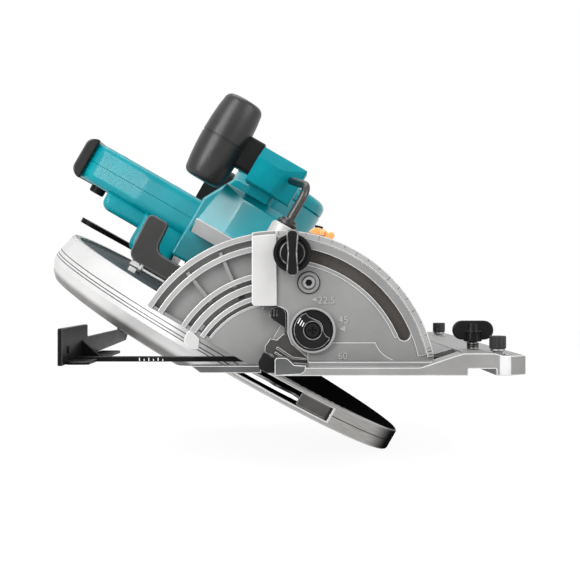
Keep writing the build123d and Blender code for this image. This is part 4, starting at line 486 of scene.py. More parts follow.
# %% [markdown]
# ## The floor
# A plain pale floor lies just under the lowest point and takes a faint shadow. It is a matt paper, mixed
# with a plain glow for the camera, so that it runs into the white behind it and keeps part of the shadow.

# %% Floor
FLOOR_GAP = 0.0006
GLOW, GLOW_SHARE = 1.16, 0.80

floor_z = cad_low[2] - FLOOR_GAP
bpy.ops.object.select_all(action="DESELECT")
bpy.ops.mesh.primitive_plane_add(size=6.0, location=(0, 0, floor_z))
floor = bpy.context.object
floor.name = "floor"
floor_paint = Paint("floor paper", Roughness=0.9)
floor_cloud = floor_paint.noise(floor_paint.place(), 2.0)
floor_paint.put(Base_Color=floor_paint.blend(floor_cloud, grey(0.86), grey(0.88)))
glow = floor_paint.tree.nodes.new("ShaderNodeEmission")
glow.inputs["Strength"].default_value = GLOW
share = Value(floor_paint, seen_as_paper(floor_paint.tree)) * GLOW_SHARE
show_mix(floor_paint.tree, share.socket, floor_paint.shader, glow, "Material Output")
floor.data.materials.append(floor_paint.material)
print("floor at", round(floor_z, 4))

# %% [markdown]
# ## Solids that stay
# Most of the small hardware, the castings and everything inside is already the right shape. It only needs
# its finish. The record names a material slot for each solid, so one table turns slots into finishes, and a
# second one names the few solids that differ from their slot.

# %% Dress the solids
SLOT_FINISH = {
    "base_metal": BASE_CAST,
    "plate_metal": CAST,
    "case_metal": CASE,
    "guard_metal": GUARD,
    "teal_plastic": TEAL,
    "black_rubber": RUBBER,
    "black_plastic": BLACK,
    "black_steel": BLACK_STEEL,
    "bright_steel": STEEL,
    "orange_plastic": ORANGE,
    "pale_plate": WHITE,
}
OWN_FINISH = {
    "gear_housing": CAST,
    "saw_blade": BLADE,
    "depth_pivot_pin": DARK_STEEL,
    "bevel_bolt_front": DARK_STEEL,
    "bevel_bolt_rear": DARK_STEEL,
}
for subpart in frame["record"]["subparts"]:
    name = subpart["node"]
    nodes[name].data.materials.clear()
    nodes[name].data.materials.append(OWN_FINISH.get(name, SLOT_FINISH[subpart["material_slot"]]))

# %% [markdown]
# ## Selecting and editing
# Every operator acts on what is selected, so the first tools select: one object alone, or the faces or edges
# of it that pass a test. Sizes are written in millimetres, as on a drawing, and a place is told by how far
# it lies along one axis and where it lies on the two others.

# %% Select and edit
MM = 0.001
AXES = {"X": (0, 1, 2), "Y": (1, 0, 2), "Z": (2, 0, 1)}


def spot(axis, along, a, b):
    """A point in metres: so far along an axis, and a and b on the two other axes"""
    point = Vector()
    for index, value in zip(AXES[axis], (along, a, b)):
        point[index] = value * MM
    return point


def only(piece):
    if bpy.context.object and bpy.context.object.mode == "EDIT":
        bpy.ops.object.mode_set(mode="OBJECT")
    bpy.ops.object.select_all(action="DESELECT")
    bpy.context.view_layer.objects.active = piece
    piece.select_set(True)


def edit(piece, kind="FACE", pick=None):
    """Edit mode, with the faces or edges selected that pass the test"""
    only(piece)
    bpy.ops.object.mode_set(mode="EDIT")
    bpy.ops.mesh.select_mode(type=kind)
    bpy.ops.mesh.select_all(action="DESELECT")
    mesh = bmesh.from_edit_mesh(piece.data)
    for item in mesh.faces if kind == "FACE" else mesh.edges:
        item.select_set(pick is None or bool(pick(item)))
    mesh.select_flush_mode()
    bmesh.update_edit_mesh(piece.data)


def close():
    bpy.ops.mesh.select_all(action="SELECT")
    bpy.ops.mesh.normals_make_consistent(inside=False)
    bpy.ops.object.mode_set(mode="OBJECT")


print("a millimetre along Y is", [round(v, 4) for v in spot("Y", 1, 0, 0)])

# %% [markdown]
# ## Flat and turned shapes
# Moulded parts come from two kinds of shape: a flat outline drawn out to a thickness, and an outline spun
# round an axis. Both start as Blender's circle with as many corners as the drawing has, whose corners are
# moved into place before it is extruded or spun. Each piece carries two marks, one for its faces and one for
# worn edges, that turn into finishes at the end. On many pieces the edge finish is also a painted highlight.

# %% Prism and lathe
FACE, EDGE = bpy.data.materials.new("face mark"), bpy.data.materials.new("edge mark")


def ring(name, count, fill):
    bpy.ops.object.select_all(action="DESELECT")
    bpy.ops.mesh.primitive_circle_add(vertices=count, radius=MM, fill_type=fill)
    piece = bpy.context.object
    piece.name = name
    piece.data.materials.append(FACE)
    piece.data.materials.append(EDGE)
    return piece


def prism(name, corners, axis, low, high):
    """A flat outline drawn out along an axis"""
    piece = ring(name, len(corners), "NGON")
    for vertex, corner in zip(piece.data.vertices, corners):
        vertex.co = spot(axis, low, *corner)
    edit(piece)
    bpy.ops.mesh.extrude_region_move(TRANSFORM_OT_translate={"value": spot(axis, high - low, 0, 0)})
    close()
    return piece


def lathe(name, profile, axis, centre, steps=48):
    """A line of (along, radius) points spun round an axis through a centre"""
    piece = ring(name, len(profile), "NOTHING")
    for vertex, (along, radius) in zip(piece.data.vertices, profile):
        vertex.co = spot(axis, along, centre[0] + radius, centre[1])
    last = len(profile) - 1
    edit(piece, "EDGE", lambda edge: {v.index for v in edge.verts} == {0, last})
    bpy.ops.mesh.delete(type="EDGE")
    bpy.ops.mesh.select_all(action="SELECT")
    turn = spot(axis, 1, 0, 0).normalized()
    bpy.ops.mesh.spin(steps=steps, angle=2 * pi, center=spot(axis, 0, *centre), axis=turn)
    bpy.ops.mesh.select_all(action="SELECT")
    bpy.ops.mesh.remove_doubles(threshold=1e-6)
    close()
    return piece


print("marks:", FACE.name, "and", EDGE.name)

# %% [markdown]
# ## Outlines
# Few corners on a moulding are sharp. An outline is written as its corners and a radius for each, and the
# arcs are worked out: the arc starts and ends where it touches the two sides, and it is kept shorter than
# half of either.

# %% Rounded outlines
def rounded(corners, radius, steps=5):
    """An outline with its corners rounded, all alike or each by its own radius"""
    radii = radius if isinstance(radius, list) else [radius] * len(corners)
    line = []
    for index, (corner, r) in enumerate(zip(corners, radii)):
        here = Vector(corner)
        back = Vector(corners[index - 1]) - here
        on = Vector(corners[(index + 1) % len(corners)]) - here
        half = back.angle(on) / 2
        reach = min(r / tan(half), back.length * 0.49, on.length * 0.49)
        if reach < 0.01:
            line.append(corner)
            continue
        start = here + back.normalized() * reach
        end = here + on.normalized() * reach
        middle = here + (back.normalized() + on.normalized()).normalized() * (reach / cos(half))
        r = (start - middle).length
        first = atan2(start.y - middle.y, start.x - middle.x)
        turn = (atan2(end.y - middle.y, end.x - middle.x) - first + pi) % (2 * pi) - pi
        for step in range(steps + 1):
            angle = first + turn * step / steps
            line.append((middle.x + r * cos(angle), middle.y + r * sin(angle)))
    return line


def box_outline(a0, a1, b0, b1, radius=0.0):
    return rounded([(a0, b0), (a1, b0), (a1, b1), (a0, b1)], radius)


print("a rounded square has", len(box_outline(0, 9, 0, 9, 2.0)), "points")

# %% [markdown]
# ## Edges and joins
# A mould maker breaks every sharp corner, and light needs that too: a broken edge catches a highlight. These
# tools bevel the edges that pass a test, either the rim of one face or all of them, and a worn bevel takes
# the edge mark, whose finish on many pieces is also a painted highlight. The last two add or cut one shape
# with another, and put finished shapes into one piece.

# %% Break edges and join
def at(axis, value):
    """A test for edges that lie in a plane across an axis"""
    index = AXES[axis][0]
    return lambda edge: all(abs(v.co[index] - value * MM) < 2e-6 for v in edge.verts)


def both(first, second):
    return lambda edge: first(edge) and second(edge)


def break_edges(piece, width, segments=2, pick=None, angle=30, worn=False):
    """Bevels the edges that are sharper than an angle, or those of them that pass the test"""
    def chosen(edge):
        return edge.calc_face_angle(0) > radians(angle) and (pick is None or pick(edge))

    edit(piece, "EDGE", chosen)
    bevel = {"affect": "EDGES", "clamp_overlap": False, "material": 1 if worn else -1}
    bpy.ops.mesh.bevel(offset=width * MM, segments=segments, **bevel)
    close()
    return piece


def rubbed(piece, width, angle=50, segments=2):
    """Breaks every sharp edge and wears it: the edge mark, on many pieces also a painted highlight"""
    return break_edges(piece, width, segments, None, angle, worn=True)


def faced(name, outline, back, front, width, segments=2, angle=50, worn=True):
    """A flat piece across Y, with the edges of its front broken"""
    return break_edges(prism(name, outline, "Y", back, front), width, segments, at("Y", front), angle, worn)


def combine(piece, tool, operation="DIFFERENCE"):
    only(piece)
    change = piece.modifiers.new("combine", "BOOLEAN")
    change.operation, change.object, change.solver = operation, tool, "EXACT"
    bpy.ops.object.modifier_apply(modifier=change.name)
    bpy.data.objects.remove(tool)
    return piece


def joined(pieces, name=None):
    only(pieces[0])
    for other in pieces[1:]:
        other.select_set(True)
    bpy.ops.object.join()
    pieces[0].name = name or pieces[0].name
    return pieces[0]


print("edges and joins:", [tool.__name__ for tool in (break_edges, rubbed, faced, combine, joined)])

# %% [markdown]
# ## Leaning over and settling in
# The saw body is modelled upright, which is easier to think about, and then leaned over with the bevel about
# the same line as the real hinge. A finished piece is shaded, swaps its marks for finishes, and says which
# body it rides on and which solids it stands for. Flat faces are long and thin here, so a weighted normal
# keeps them flat beside their rounded edges.

# %% Lean and settle
BEVEL_PIVOT = Vector((0, 0, -PIVOT_DEPTH))
LEAN = Matrix.Translation(BEVEL_PIVOT) @ Matrix.Rotation(-BEVEL, 4, "Y") @ Matrix.Translation(-BEVEL_PIVOT)


def lean(piece):
    only(piece)
    piece.matrix_world = LEAN @ piece.matrix_world
    bpy.ops.object.transform_apply(location=True, rotation=True, scale=True)
    return piece


def settle(piece, finishes, body, slot_name, *replaced):
    """Shades a finished piece, gives it its finishes and body, and hides the solids it stands for"""
    only(piece)
    bpy.ops.object.shade_smooth_by_angle(angle=radians(35))
    flat = piece.modifiers.new("flat faces", "WEIGHTED_NORMAL")
    flat.keep_sharp = True
    bpy.ops.object.modifier_apply(modifier=flat.name)
    finishes = finishes if isinstance(finishes, list) else [finishes]
    for number, mark in enumerate(piece.data.materials):
        piece.data.materials[number] = finishes[-1] if mark == EDGE else finishes[0]
    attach(piece, body)
    if replaced:
        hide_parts(*replaced)
    print(piece.name, "faces", len(piece.data.polygons), "on", body)


print("the saw body leans", round(degrees(BEVEL)), "degrees, hinged", PIVOT_DEPTH / MM, "mm below the sole")

# %% [markdown]
# ## The rear handle
# The handle is two mouldings screwed together on a seam down the middle. Each half is the handle's side view
# drawn out to its half of the width, with the hand opening cut through. The outer rim is rounded broadly, so
# that it lies well in a palm, and the seam keeps a fine gap. Lobes on the left half swell round the switch
# and the wiring.

# %% Rear handle
HANDLE = [(-46, 106), (-43, 150), (-36, 190), (-22, 207), (-4, 209), (62, 199), (124, 181), (152, 164),
          (158, 140), (156, 122), (48, 122), (44, 106)]
HANDLE_ROUND = [0.0, 40.0, 16.0, 14.0, 16.0, 60.0, 30.0, 16.0, 14.0, 0.0, 0.0, 0.0]
OPENING = [(4, 130), (1, 150), (6, 172), (22, 179), (62, 171), (104, 157), (112, 147), (108, 134), (102, 130)]
HANDLE_LEFT, HANDLE_SEAM, HANDLE_RIGHT = 52.0, 67.0, 82.5
SEAM_GAP = 0.07
FLANGE_TOP = 0.1235
LOBE_IN = 54
LOBES = {"lower_lobe": (22, 104, 139, 9.0, 28.5, -44), "upper_lobe": (40, 136, 172, 8.0, -4, -40)}


def above_flange(edge):
    return max(v.co.z for v in edge.verts) > FLANGE_TOP


def handle_half(name, outer, inner, round_by):
    half = prism(name, rounded(HANDLE, HANDLE_ROUND), "X", outer, inner)
    hole = prism("hand_hole", rounded(OPENING, 5.0), "X", min(outer, inner) - 5, max(outer, inner) + 5)
    combine(half, hole)
    break_edges(half, round_by, 5, both(at("X", outer), above_flange))
    return break_edges(half, 0.15, 1, at("X", inner), 60)


left_half = handle_half("handle_shell_left", HANDLE_LEFT, HANDLE_SEAM - SEAM_GAP, 7.0)
right_half = handle_half("handle_shell_right", HANDLE_RIGHT, HANDLE_SEAM + SEAM_GAP, 6.0)
lobes = []
for name, (left, low, high, radius, back, front) in LOBES.items():
    outline = rounded([(LOBE_IN, low), (left, low), (left, high), (LOBE_IN, high)], [0.0, 0.0, radius, 0.0])
    lobes.append(faced(name, outline, back, front, 5.0, 4, 30, worn=False))
REAR_LOBE = [(112, 122), (112, 168), (130, 162), (150, 150), (152, 122)]
rear_lobe = prism("rear_lobe", rounded(REAR_LOBE, 6.0), "X", 40, LOBE_IN)
lobes.append(break_edges(rear_lobe, 3.0, 3, at("X", 40)))
settle(lean(joined([left_half] + lobes)), TEAL, "saw_body", "teal_plastic", "handle_left")
settle(lean(right_half), TEAL, "saw_body", "teal_plastic", "handle_right")

# %% [markdown]
# ## The soft cap
# Rubber is moulded over the top of the handle in a second shot. It stands a millimetre proud all round and
# ends in a crisp step, because the mould shuts off against the hard plastic there. So only the edges well
# above its lower line are rounded. Grooves across its top, cut at the height of the cap, give the hand hold.

# %% Rubber cap
CAP = [(-36.6, 196.2), (-22.6, 208.1), (-4.0, 210.1), (62.2, 200.1), (124.4, 182.0),
       (153.0, 165.0), (157.6, 153.4), (118.0, 174.0), (62.0, 192.0), (-10.0, 201.0)]
CAP_LINE = rounded(CAP, [1.0, 15.0, 17.0, 61.0, 31.0, 10.0, 1.0, 40.0, 60.0, 60.0], 8)
UNDER_LINE = [(-37.0, 195.8), (-10.0, 201.0), (62.0, 192.0), (118.0, 174.0), (158.0, 153.0)]
CAP_SIDES = ((51.0, 7.6), (83.5, 6.6))


def height_on(line, y):
    """The greatest height of a line of points at a place along it"""
    spans = [(a, b) for a, b in zip(line, line[1:]) if a[0] < b[0] and a[0] <= y <= b[0]]
    return max((z0 + (z1 - z0) * (y - y0) / (y1 - y0) for (y0, z0), (y1, z1) in spans), default=None)


def well_above(edge):
    """A test for edges whose two ends lie clear of the cap's lower line"""
    heights = [(v.co.z / MM, height_on(UNDER_LINE, v.co.y / MM)) for v in edge.verts]
    return all(under is not None and z - under > 2.5 for z, under in heights)


cap = prism("grip_cap", CAP_LINE, "X", CAP_SIDES[0][0], CAP_SIDES[1][0])
for side, width in CAP_SIDES:
    break_edges(cap, width, 6, both(at("X", side), well_above), 20)
grooves = []
for number in range(15):
    y = 2 + number * 7.5
    top = height_on(CAP_LINE, y)
    outline = [(-0.9, -0.8), (0, -1.0), (0.9, -0.8), (1.3, 3), (-1.3, 3)]
    grooves.append(prism("groove", [(y + a, top + b) for a, b in outline], "X", 49.0, 86.0))
combine(cap, joined(grooves))
settle(lean(cap), BLACK, "saw_body", "black_rubber", "grip_rubber")

# %% [markdown]
# ## The motor housing
# A barrel holds the motor; a block in front of it carries the front grip, and a saddle on top carries the
# handle. The three run into each other in one moulding. The block is drawn upwards from its plan, which has
# cut corners. Its top is sliced to a slope, and its front leans back above a crease. That crease is gentle,
# so it is marked sharp, or smooth shading would blur it.

# %% Motor housing
MOTOR_Y, MOTOR_Z = -7.25, 60.05
MOTOR = [(36, 0), (36, 36.4), (36.6, 37), (116.5, 37), (118, 35.5), (118, 0)]
BLOCK_FRONT, CREASE_Z = -96, 75
BLOCK = [(58, -7), (58, -80), (69, BLOCK_FRONT), (96, BLOCK_FRONT), (101, -91), (101, -7)]
SADDLE = [(36.1, 62), (36.1, 106), (84.5, 106), (110, 92), (110, 62)]


def slice_off(piece, point, normal):
    """Cuts a piece along a plane, drops what lies on the normal's side and closes the cut"""
    edit(piece)
    normal = Vector(normal).normalized()
    bpy.ops.mesh.bisect(plane_co=Vector(point) * MM, plane_no=normal, use_fill=True, clear_outer=True)
    close()
    return piece


shell = lathe("motor_shell", MOTOR, "X", (MOTOR_Y, MOTOR_Z), 72)
block = prism("block", rounded(BLOCK, [0.0, 2.0, 2.0, 2.0, 2.0, 0.0]), "Z", 46, 104)
slice_off(block, (58, 0, 100), (8, 0, 43))
slice_off(block, (0, BLOCK_FRONT, CREASE_Z), (0, -54, 14))
break_edges(block, 1.0, 2, lambda edge: min(v.co.z for v in edge.verts) > 0.088, 35)
combine(shell, block, "UNION")
saddle = faced("saddle", rounded(SADDLE, [0.0, 2.0, 4.0, 6.0, 0.0]), 29.7, -48.2, 2.0, 3, 30, worn=False)
combine(shell, saddle, "UNION")
edit(shell, "EDGE", both(at("Y", BLOCK_FRONT), at("Z", CREASE_Z)))
bpy.ops.mesh.mark_sharp()
close()
settle(lean(shell), GLOSS_TEAL, "saw_body", "teal_plastic", "motor_housing")

# %% [markdown]
# ## The front grip
# The grip is a short rubber barrel across the saw, fattest in the middle, on a neck of hard plastic. The
# barrel is spun; a fine groove round its middle is where the two halves of the mould met. The neck is marked
# for the second finish before the two are united.

# %% Front grip
GRIP_AT = (-115.0, 106.5)
NECK_FOOT = 79.2
BARREL = [(92.6, 0), (92.6, 9.6), (93.1, 11.6), (94.4, 13.2), (96.4, 14.2), (104, 15.3), (113, 16.0),
          (123.2, 16.3), (123.5, 15.9), (124.4, 15.9), (124.7, 16.3), (135, 16.0), (144, 15.3), (151.5, 14.2),
          (153.5, 13.2), (154.8, 11.6), (155.3, 9.6), (155.3, 0)]


def second_finish(piece):
    for face in piece.data.polygons:
        face.material_index = 1
    return piece


barrel = lathe("grip_barrel", BARREL, "X", GRIP_AT, 64)
neck = prism("grip_neck", box_outline(112, 136, -121, -103, 4.0), "Z", NECK_FOOT, 104)
combine(barrel, second_finish(break_edges(neck, 1.0, 2, at("Z", NECK_FOOT))), "UNION")
settle(lean(barrel), [RUBBER, BLACK], "saw_body", "black_rubber", "front_grip")

# %% [markdown]
# ## The grip's post
# The neck plugs into a faceted post that a bridge ties to the motor housing. The post is its plan drawn
# upwards, with a slope sliced off under its front and one broad facet along the front of its top.

# %% Grip post
POST_FRONT, POST_LOW, POST_TOP = -130.5, 45, 79
POST = [(107, POST_FRONT), (125, POST_FRONT), (134, -121.5), (134, -99.5), (107, -99.5)]

post = prism("grip_post", rounded(POST, 2.0), "Z", POST_LOW, POST_TOP)
slice_off(post, (0, POST_FRONT, 59), (0, -1, -0.6))
break_edges(post, 4.5, 1, both(at("Z", POST_TOP), at("Y", POST_FRONT)), 50)
break_edges(post, 1.2, 2, at("Z", POST_LOW), 50)
bridge = prism("post_bridge", box_outline(-108, -57, 58, 77, 2.0), "X", 100.4, 115)
combine(post, break_edges(bridge, 1.0, 2, None, 50), "UNION")
# The post takes the darker teal as painted shade.
settle(lean(post), SHADED_TEAL, "saw_body", "teal_plastic", "front_grip_post")

# %% [markdown]
# ## The guard lever
# A thumb lever opens the swinging guard. It is a thick moulded hook, cut from its front view and drawn back
# to its depth, with both rims broken so that it does not bite the thumb. The steel rod beside it runs in a
# plastic sleeve and ends in a turned collar.

# %% Guard lever
LEVER_FRONT, LEVER_BACK = -101, -91
LEVER = [(20, 62), (33, 62), (33, 111), (55, 112.5), (55, 128), (20, 126)]
ROD_AT = (17.4, -98)
SLEEVE = [(86.6, 0), (86.6, 2.6), (87.2, 3.1), (94.4, 3.1), (95, 2.6), (95, 0)]
COLLAR = [(112.6, 2.1), (112.6, 4.0), (113.2, 4.5), (114.6, 4.5), (115.2, 4.0), (115.2, 3.0), (121.8, 3.0),
          (122.4, 2.4), (122.4, 0)]

front_rim, back_rim = at("Y", LEVER_FRONT), at("Y", LEVER_BACK)
lever_line = rounded(LEVER, [3.0, 3.0, 7.0, 3.0, 4.0, 7.0])
lever = prism("guard_thumb_lever", lever_line, "Y", LEVER_FRONT, LEVER_BACK)
break_edges(lever, 1.0, 2, lambda edge: front_rim(edge) or back_rim(edge), 50, worn=True)
# The lever's pale rims are partly rubbing and partly a painted highlight.
settle(lean(lever), [MATT_BLACK, RUBBED_EDGE_HIGHLIGHT], "guard_lever", "black_plastic", "guard_lever")
settle(lean(lathe("lever_sleeve", SLEEVE, "Z", ROD_AT, 32)), BLACK, "guard_lever", "black_plastic")
settle(lean(lathe("lever_collar", COLLAR, "Z", ROD_AT, 32)), STEEL, "guard_lever", "bright_steel")

# %% [markdown]
# ## Clamping knobs
# The bevel is locked by a wing on a round foot. The wing is waisted, thinner at its middle than at its tips,
# so that finger and thumb fall into place. The front knob stands upright in this position; the rear one is
# a turned copy, set on the solid that it stands for.

# %% Bevel knobs
FRONT_KNOB = (8.48, 74.97)
WING_BACK, WING_FRONT = -198.6, -205.8
FOOT = [(-192.8, 0), (-192.8, 12), (-199.2, 12), (-199.8, 11.4), (-199.8, 9.8), (-199.2, 9.2),
        (WING_BACK, 9.0), (WING_BACK, 0)]
WING = [(-4.0, -14.5), (4.0, -14.5), (3.0, 0), (4.0, 14.5), (-4.0, 14.5), (-3.0, 0)]
# A pale ring on the foot's face: a painted highlight of its ring recess
BAND_LINE = [(-198.4, 7.2), (-198.9, 7.2), (-199.0, 7.5), (-198.9, 7.8), (-198.4, 7.8), (-198.4, 7.2)]


def moved(points, centre):
    return [(centre[0] + a, centre[1] + b) for a, b in points]


def knob(name):
    wing_line = moved(rounded(WING, [3.0, 3.0, 20.0, 3.0, 3.0, 20.0]), FRONT_KNOB)
    foot = lathe(name, FOOT, "Y", FRONT_KNOB, 48)
    wing = faced("wing", wing_line, WING_BACK, WING_FRONT, 0.9)
    return joined([foot, wing, second_finish(lathe("band_line", BAND_LINE, "Y", FRONT_KNOB))])


# The knobs' pale edges and ring are partly wear and partly a painted highlight.
settle(knob("bevel_clamp_front"), [BLACK, WORN_EDGE_HIGHLIGHT], "bevel_knob_front", "black_plastic", "bevel_knob_front")
rear_low, rear_high = [Vector(corner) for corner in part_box("bevel_knob_rear")]
rear_middle = (rear_low + rear_high) / 2
rear_knob = knob("bevel_clamp_rear")
half_turn = Matrix.Rotation(pi, 4, "Z")
shift = Vector((rear_middle.x, rear_high.y, rear_middle.z)) - half_turn @ spot("Y", WING_FRONT, *FRONT_KNOB)
rear_knob.data.transform(Matrix.Translation(shift) @ half_turn)
settle(rear_knob, [BLACK, WORN_EDGE_HIGHLIGHT], "bevel_knob_rear", "black_plastic", "bevel_knob_rear")

# %% [markdown]
# ## The fence screw's spring
# A short coil of wire under the wing screw keeps it from shaking loose. A small round section is wound round
# the screw with a screw modifier, and its two cut ends are filled.

# %% Coil spring
SCREW_AT = (125.6, -167.5)
COIL_R, WIRE_R, WIRE_SIDES, TURNS = 3.55, 0.45, 12, 3.5

spring_low, spring_high = [Vector(corner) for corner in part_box("fence_spring")]
rise = (spring_high.z - spring_low.z) / MM - 2 * WIRE_R
coil = ring("fence_coil", WIRE_SIDES, "NOTHING")
for index, vertex in enumerate(coil.data.vertices):
    angle = 2 * pi * index / WIRE_SIDES
    vertex.co = Vector((COIL_R + WIRE_R * cos(angle), 0, WIRE_R * sin(angle))) * MM
only(coil)
winding = coil.modifiers.new("winding", "SCREW")
winding.iterations, winding.use_merge_vertices = 1, False
winding.angle, winding.screw_offset = 2 * pi * TURNS, rise * MM
winding.steps = winding.render_steps = 112
bpy.ops.object.modifier_apply(modifier="winding")
edit(coil, "EDGE", lambda edge: edge.is_boundary)
bpy.ops.mesh.edge_face_add()
close()
coil.data.transform(Matrix.Translation(Vector((*SCREW_AT, spring_low.z / MM + WIRE_R)) * MM))
settle(coil, DARK_STEEL, "base", "bright_steel", "fence_spring")

# %% [markdown]
# ## Arcs about the bevel axis
# Everything on the angle plate is laid out round the line that the saw tilts about, so its outlines are
# arcs. A band is a flat arc between two radii and two angles. A curved slot is cut with such a band and a
# round end on each side of it.

# %% Arcs and slots
BEVEL_AXIS = (0.0, -PIVOT_DEPTH / MM)


def arc_points(radius, start, end, centre=BEVEL_AXIS, steps=24):
    """Points on an arc, by default about the bevel axis, angles in degrees from +X"""
    angles = [radians(start + (end - start) * step / steps) for step in range(steps + 1)]
    return moved([(radius * cos(a), radius * sin(a)) for a in angles], centre)


def circle_outline(centre, radius, steps=48):
    return arc_points(radius, 0, 360 * (1 - 1 / steps), centre, steps - 1)


def hexagon_outline(centre, radius):
    return circle_outline(centre, radius, 6)


def band(name, inner, outer, start, end, front, back):
    """A flat arc about the bevel axis, between two radii and two angles"""
    outline = arc_points(outer, start, end, steps=40) + arc_points(inner, end, start, steps=40)
    return prism(name, outline, "Y", back, front)


def arc_slot(name, radius, half, start, end, front, back):
    """The tool for a curved slot: a band with a round end on each side"""
    tool = band(name, radius - half, radius + half, start, end, front, back)
    for centre in arc_points(radius, start, end, steps=1):
        combine(tool, prism("slot_end", circle_outline(centre, half - 0.01), "Y", back, front), "UNION")
    return tool


print("arcs about", BEVEL_AXIS)

# %% [markdown]
# ## The angle plate
# The graduated plate is one die casting: a flat quadrant with a curved slot, and on it a lip along the slot,
# a seat for the scale, a step, a foot on the base and a boss for the stop screw. Each raised part is drawn
# out to its own height. Their edges are broken, and their bright edge finish is partly burnish from handling
# and partly a painted highlight.

# %% Angle plate
RIM = 99.6
PLATE_BACK, PLATE_FRONT = -184, -190
SLOT_R, SLOT_HALF, SLOT_FROM, SLOT_TO = 86.0, 3.9, 23.3, 85.3
LEFT_END, RIGHT_END = degrees(acos(-17 / RIM)), degrees(acos(97.5 / RIM))
SCALE_TO = 91.2
DIAL, STOP = (21.2, 26.7), (18.8, 56.6)
PLATE_EDGE = [(-17, 42), (-1.4, 42), (5.4, 39), (5.4, 24), (7.7, 18), (18, 9), (18, 5), (97.5, 5)]
STOP_BOSS = [(-189, 6.7), (-191.6, 6.7), (-192, 6.3), (-192, 4.7), (-191.6, 4.35), (-189, 4.35), (-189, 6.7)]

corners = rounded(PLATE_EDGE, [2.5, 3.0, 4.0, 4.0, 3.0, 1.0, 0.0, 0.0])
corners += arc_points(RIM, RIGHT_END, LEFT_END, steps=60)
plate = prism("angle_plate", corners, "Y", PLATE_BACK, PLATE_FRONT)
combine(plate, arc_slot("slot", SLOT_R, SLOT_HALF, SLOT_FROM, SLOT_TO, -197, -180))
break_edges(plate, 0.5, 2, at("Y", PLATE_FRONT), 50, worn=True)
step = prism("step", box_outline(18, 84, 5.2, 19), "Y", -189, -191.2)
for centre, radius in (((77.8, 25.1), 18.0), (DIAL, 14.4)):
    combine(step, prism("step_well", circle_outline(centre, radius), "Y", -180, -200))
raised = [
    band("slot_lip", 79.4, 82.1, SLOT_FROM, SLOT_TO, -190.7, -189),
    band("scale_seat", 89.9, 95.4, RIGHT_END + 1, SCALE_TO, -190.9, -189),
    step,
    prism("foot", box_outline(18, 94.5, -212, -189, 1.5), "Z", 5, 8),
]
plate = joined([plate] + [rubbed(part, 0.45) for part in raised] + [lathe("stop_boss", STOP_BOSS, "Y", STOP)])
settle(plate, [CAST, EDGE_HIGHLIGHT_CAST], "base", "plate_metal", "front_angle_plate")

# %% [markdown]
# ## Bar, scale rim and dial wall
# A heavy bar stiffens the plate's left edge, the rim carries the scale, and a ring stands round the stop
# dial. These faces are machined, so they are brighter than the plate and are pieces of their own.

# %% Bar, scale rim and dial wall
BAR_R, BAR_LEFT, BAR_RIGHT = 97.2, -17.1, -1.3
SCALE_FRONT = -191.8
DIAL_WALL = [(-189, 14.5), (-194.5, 14.5), (-195, 14.1), (-195, 13.3), (-194.6, 12.9), (-189, 12.9),
             (-189, 14.5)]

top_arc = arc_points(BAR_R, 90.8, degrees(acos(BAR_LEFT / BAR_R)), steps=8)
bar_line = rounded([(BAR_LEFT, 42), (BAR_RIGHT, 42)] + top_arc, [2.5, 1.0] + [0.0] * len(top_arc))
settle(faced("plate_bar", bar_line, -188, -192.5, 0.7), [BRIGHT_CAST, EDGE_HIGHLIGHT_CAST], "base", "plate_metal")
scale_band = band("scale_band", 95.4, RIM + 0.05, RIGHT_END, SCALE_TO, SCALE_FRONT, -188)
break_edges(scale_band, 0.5, 2, at("Y", SCALE_FRONT), 50, worn=True)
dial_wall = lathe("dial_wall", DIAL_WALL, "Y", DIAL, 64)
settle(joined([scale_band, dial_wall]), [CREST_CAST, EDGE_HIGHLIGHT_CAST], "base", "plate_metal")

# %% [markdown]
# ## What shows through the slot
# Behind the curved slot slides a blackened steel strip that keeps dust out of the bevel. It is a thin arc
# against the back of the plate, so the slot reads as a dark track.

# %% Slot strip
slot_strip = band("slot_strip", 80.5, 91.5, SLOT_FROM - 4, SLOT_TO + 1, -184.02, -183.90)
settle(break_edges(slot_strip, 0.05, 1), TRACK, "base", "black_steel")

# %% [markdown]
# ## Rings of the tilting sector
# The sector that tilts with the saw is ribbed in rings about the bevel axis, to be stiff and light. Their
# crests are machined so that they slide against the plate. Each crest is a bright arc with broken edges,
# laid over its rib and cut off where the casting ends.

# %% Sector rings
RING_FOOT, RING_LEFT = 16.3, 3.1
RING_FRONT = -183.86
RINGS = [(95.1, 99.05), (87.5, 91.3), (70.5, 73.9), (63.2, 67.7), (56.9, 60.1)]


def crest(inner, outer, front=RING_FRONT, width=0.55):
    (low_in, high_in), (low_out, high_out) = [
        (degrees(asin(RING_FOOT / r)), degrees(acos(RING_LEFT / r))) for r in (inner, outer)
    ]
    outline = arc_points(outer, low_out, high_out, steps=40) + arc_points(inner, high_in, low_in, steps=40)
    return faced("sector_ring", outline, -179.5, front, width)


crests = joined([crest(*radii) for radii in RINGS] + [crest(53.0, 54.6, -182.6, 0.3)], "sector_rings")
settle(lean(crests), [CREST_CAST, EDGE_HIGHLIGHT_CAST], "bevel_bracket", "plate_metal")

# %% [markdown]
# ## The bevel scale
# The scale is cut into the rim every five degrees, longer every fifteen, with two marks at its right end.
# One tick is a thin bar along X, turned to its angle about the bevel axis.

# %% Scale ticks
TICK_OUT, TICK_WIDTH = 99.2, 0.34


def tick(angle, inner, width=TICK_WIDTH):
    made = prism("tick", box_outline(inner, TICK_OUT, -width / 2, width / 2), "Y", -191.7, -191.86)
    break_edges(made, 0.04, 1)
    made.data.transform(Matrix.Translation(BEVEL_PIVOT) @ Matrix.Rotation(radians(-angle), 4, "Y"))
    return made


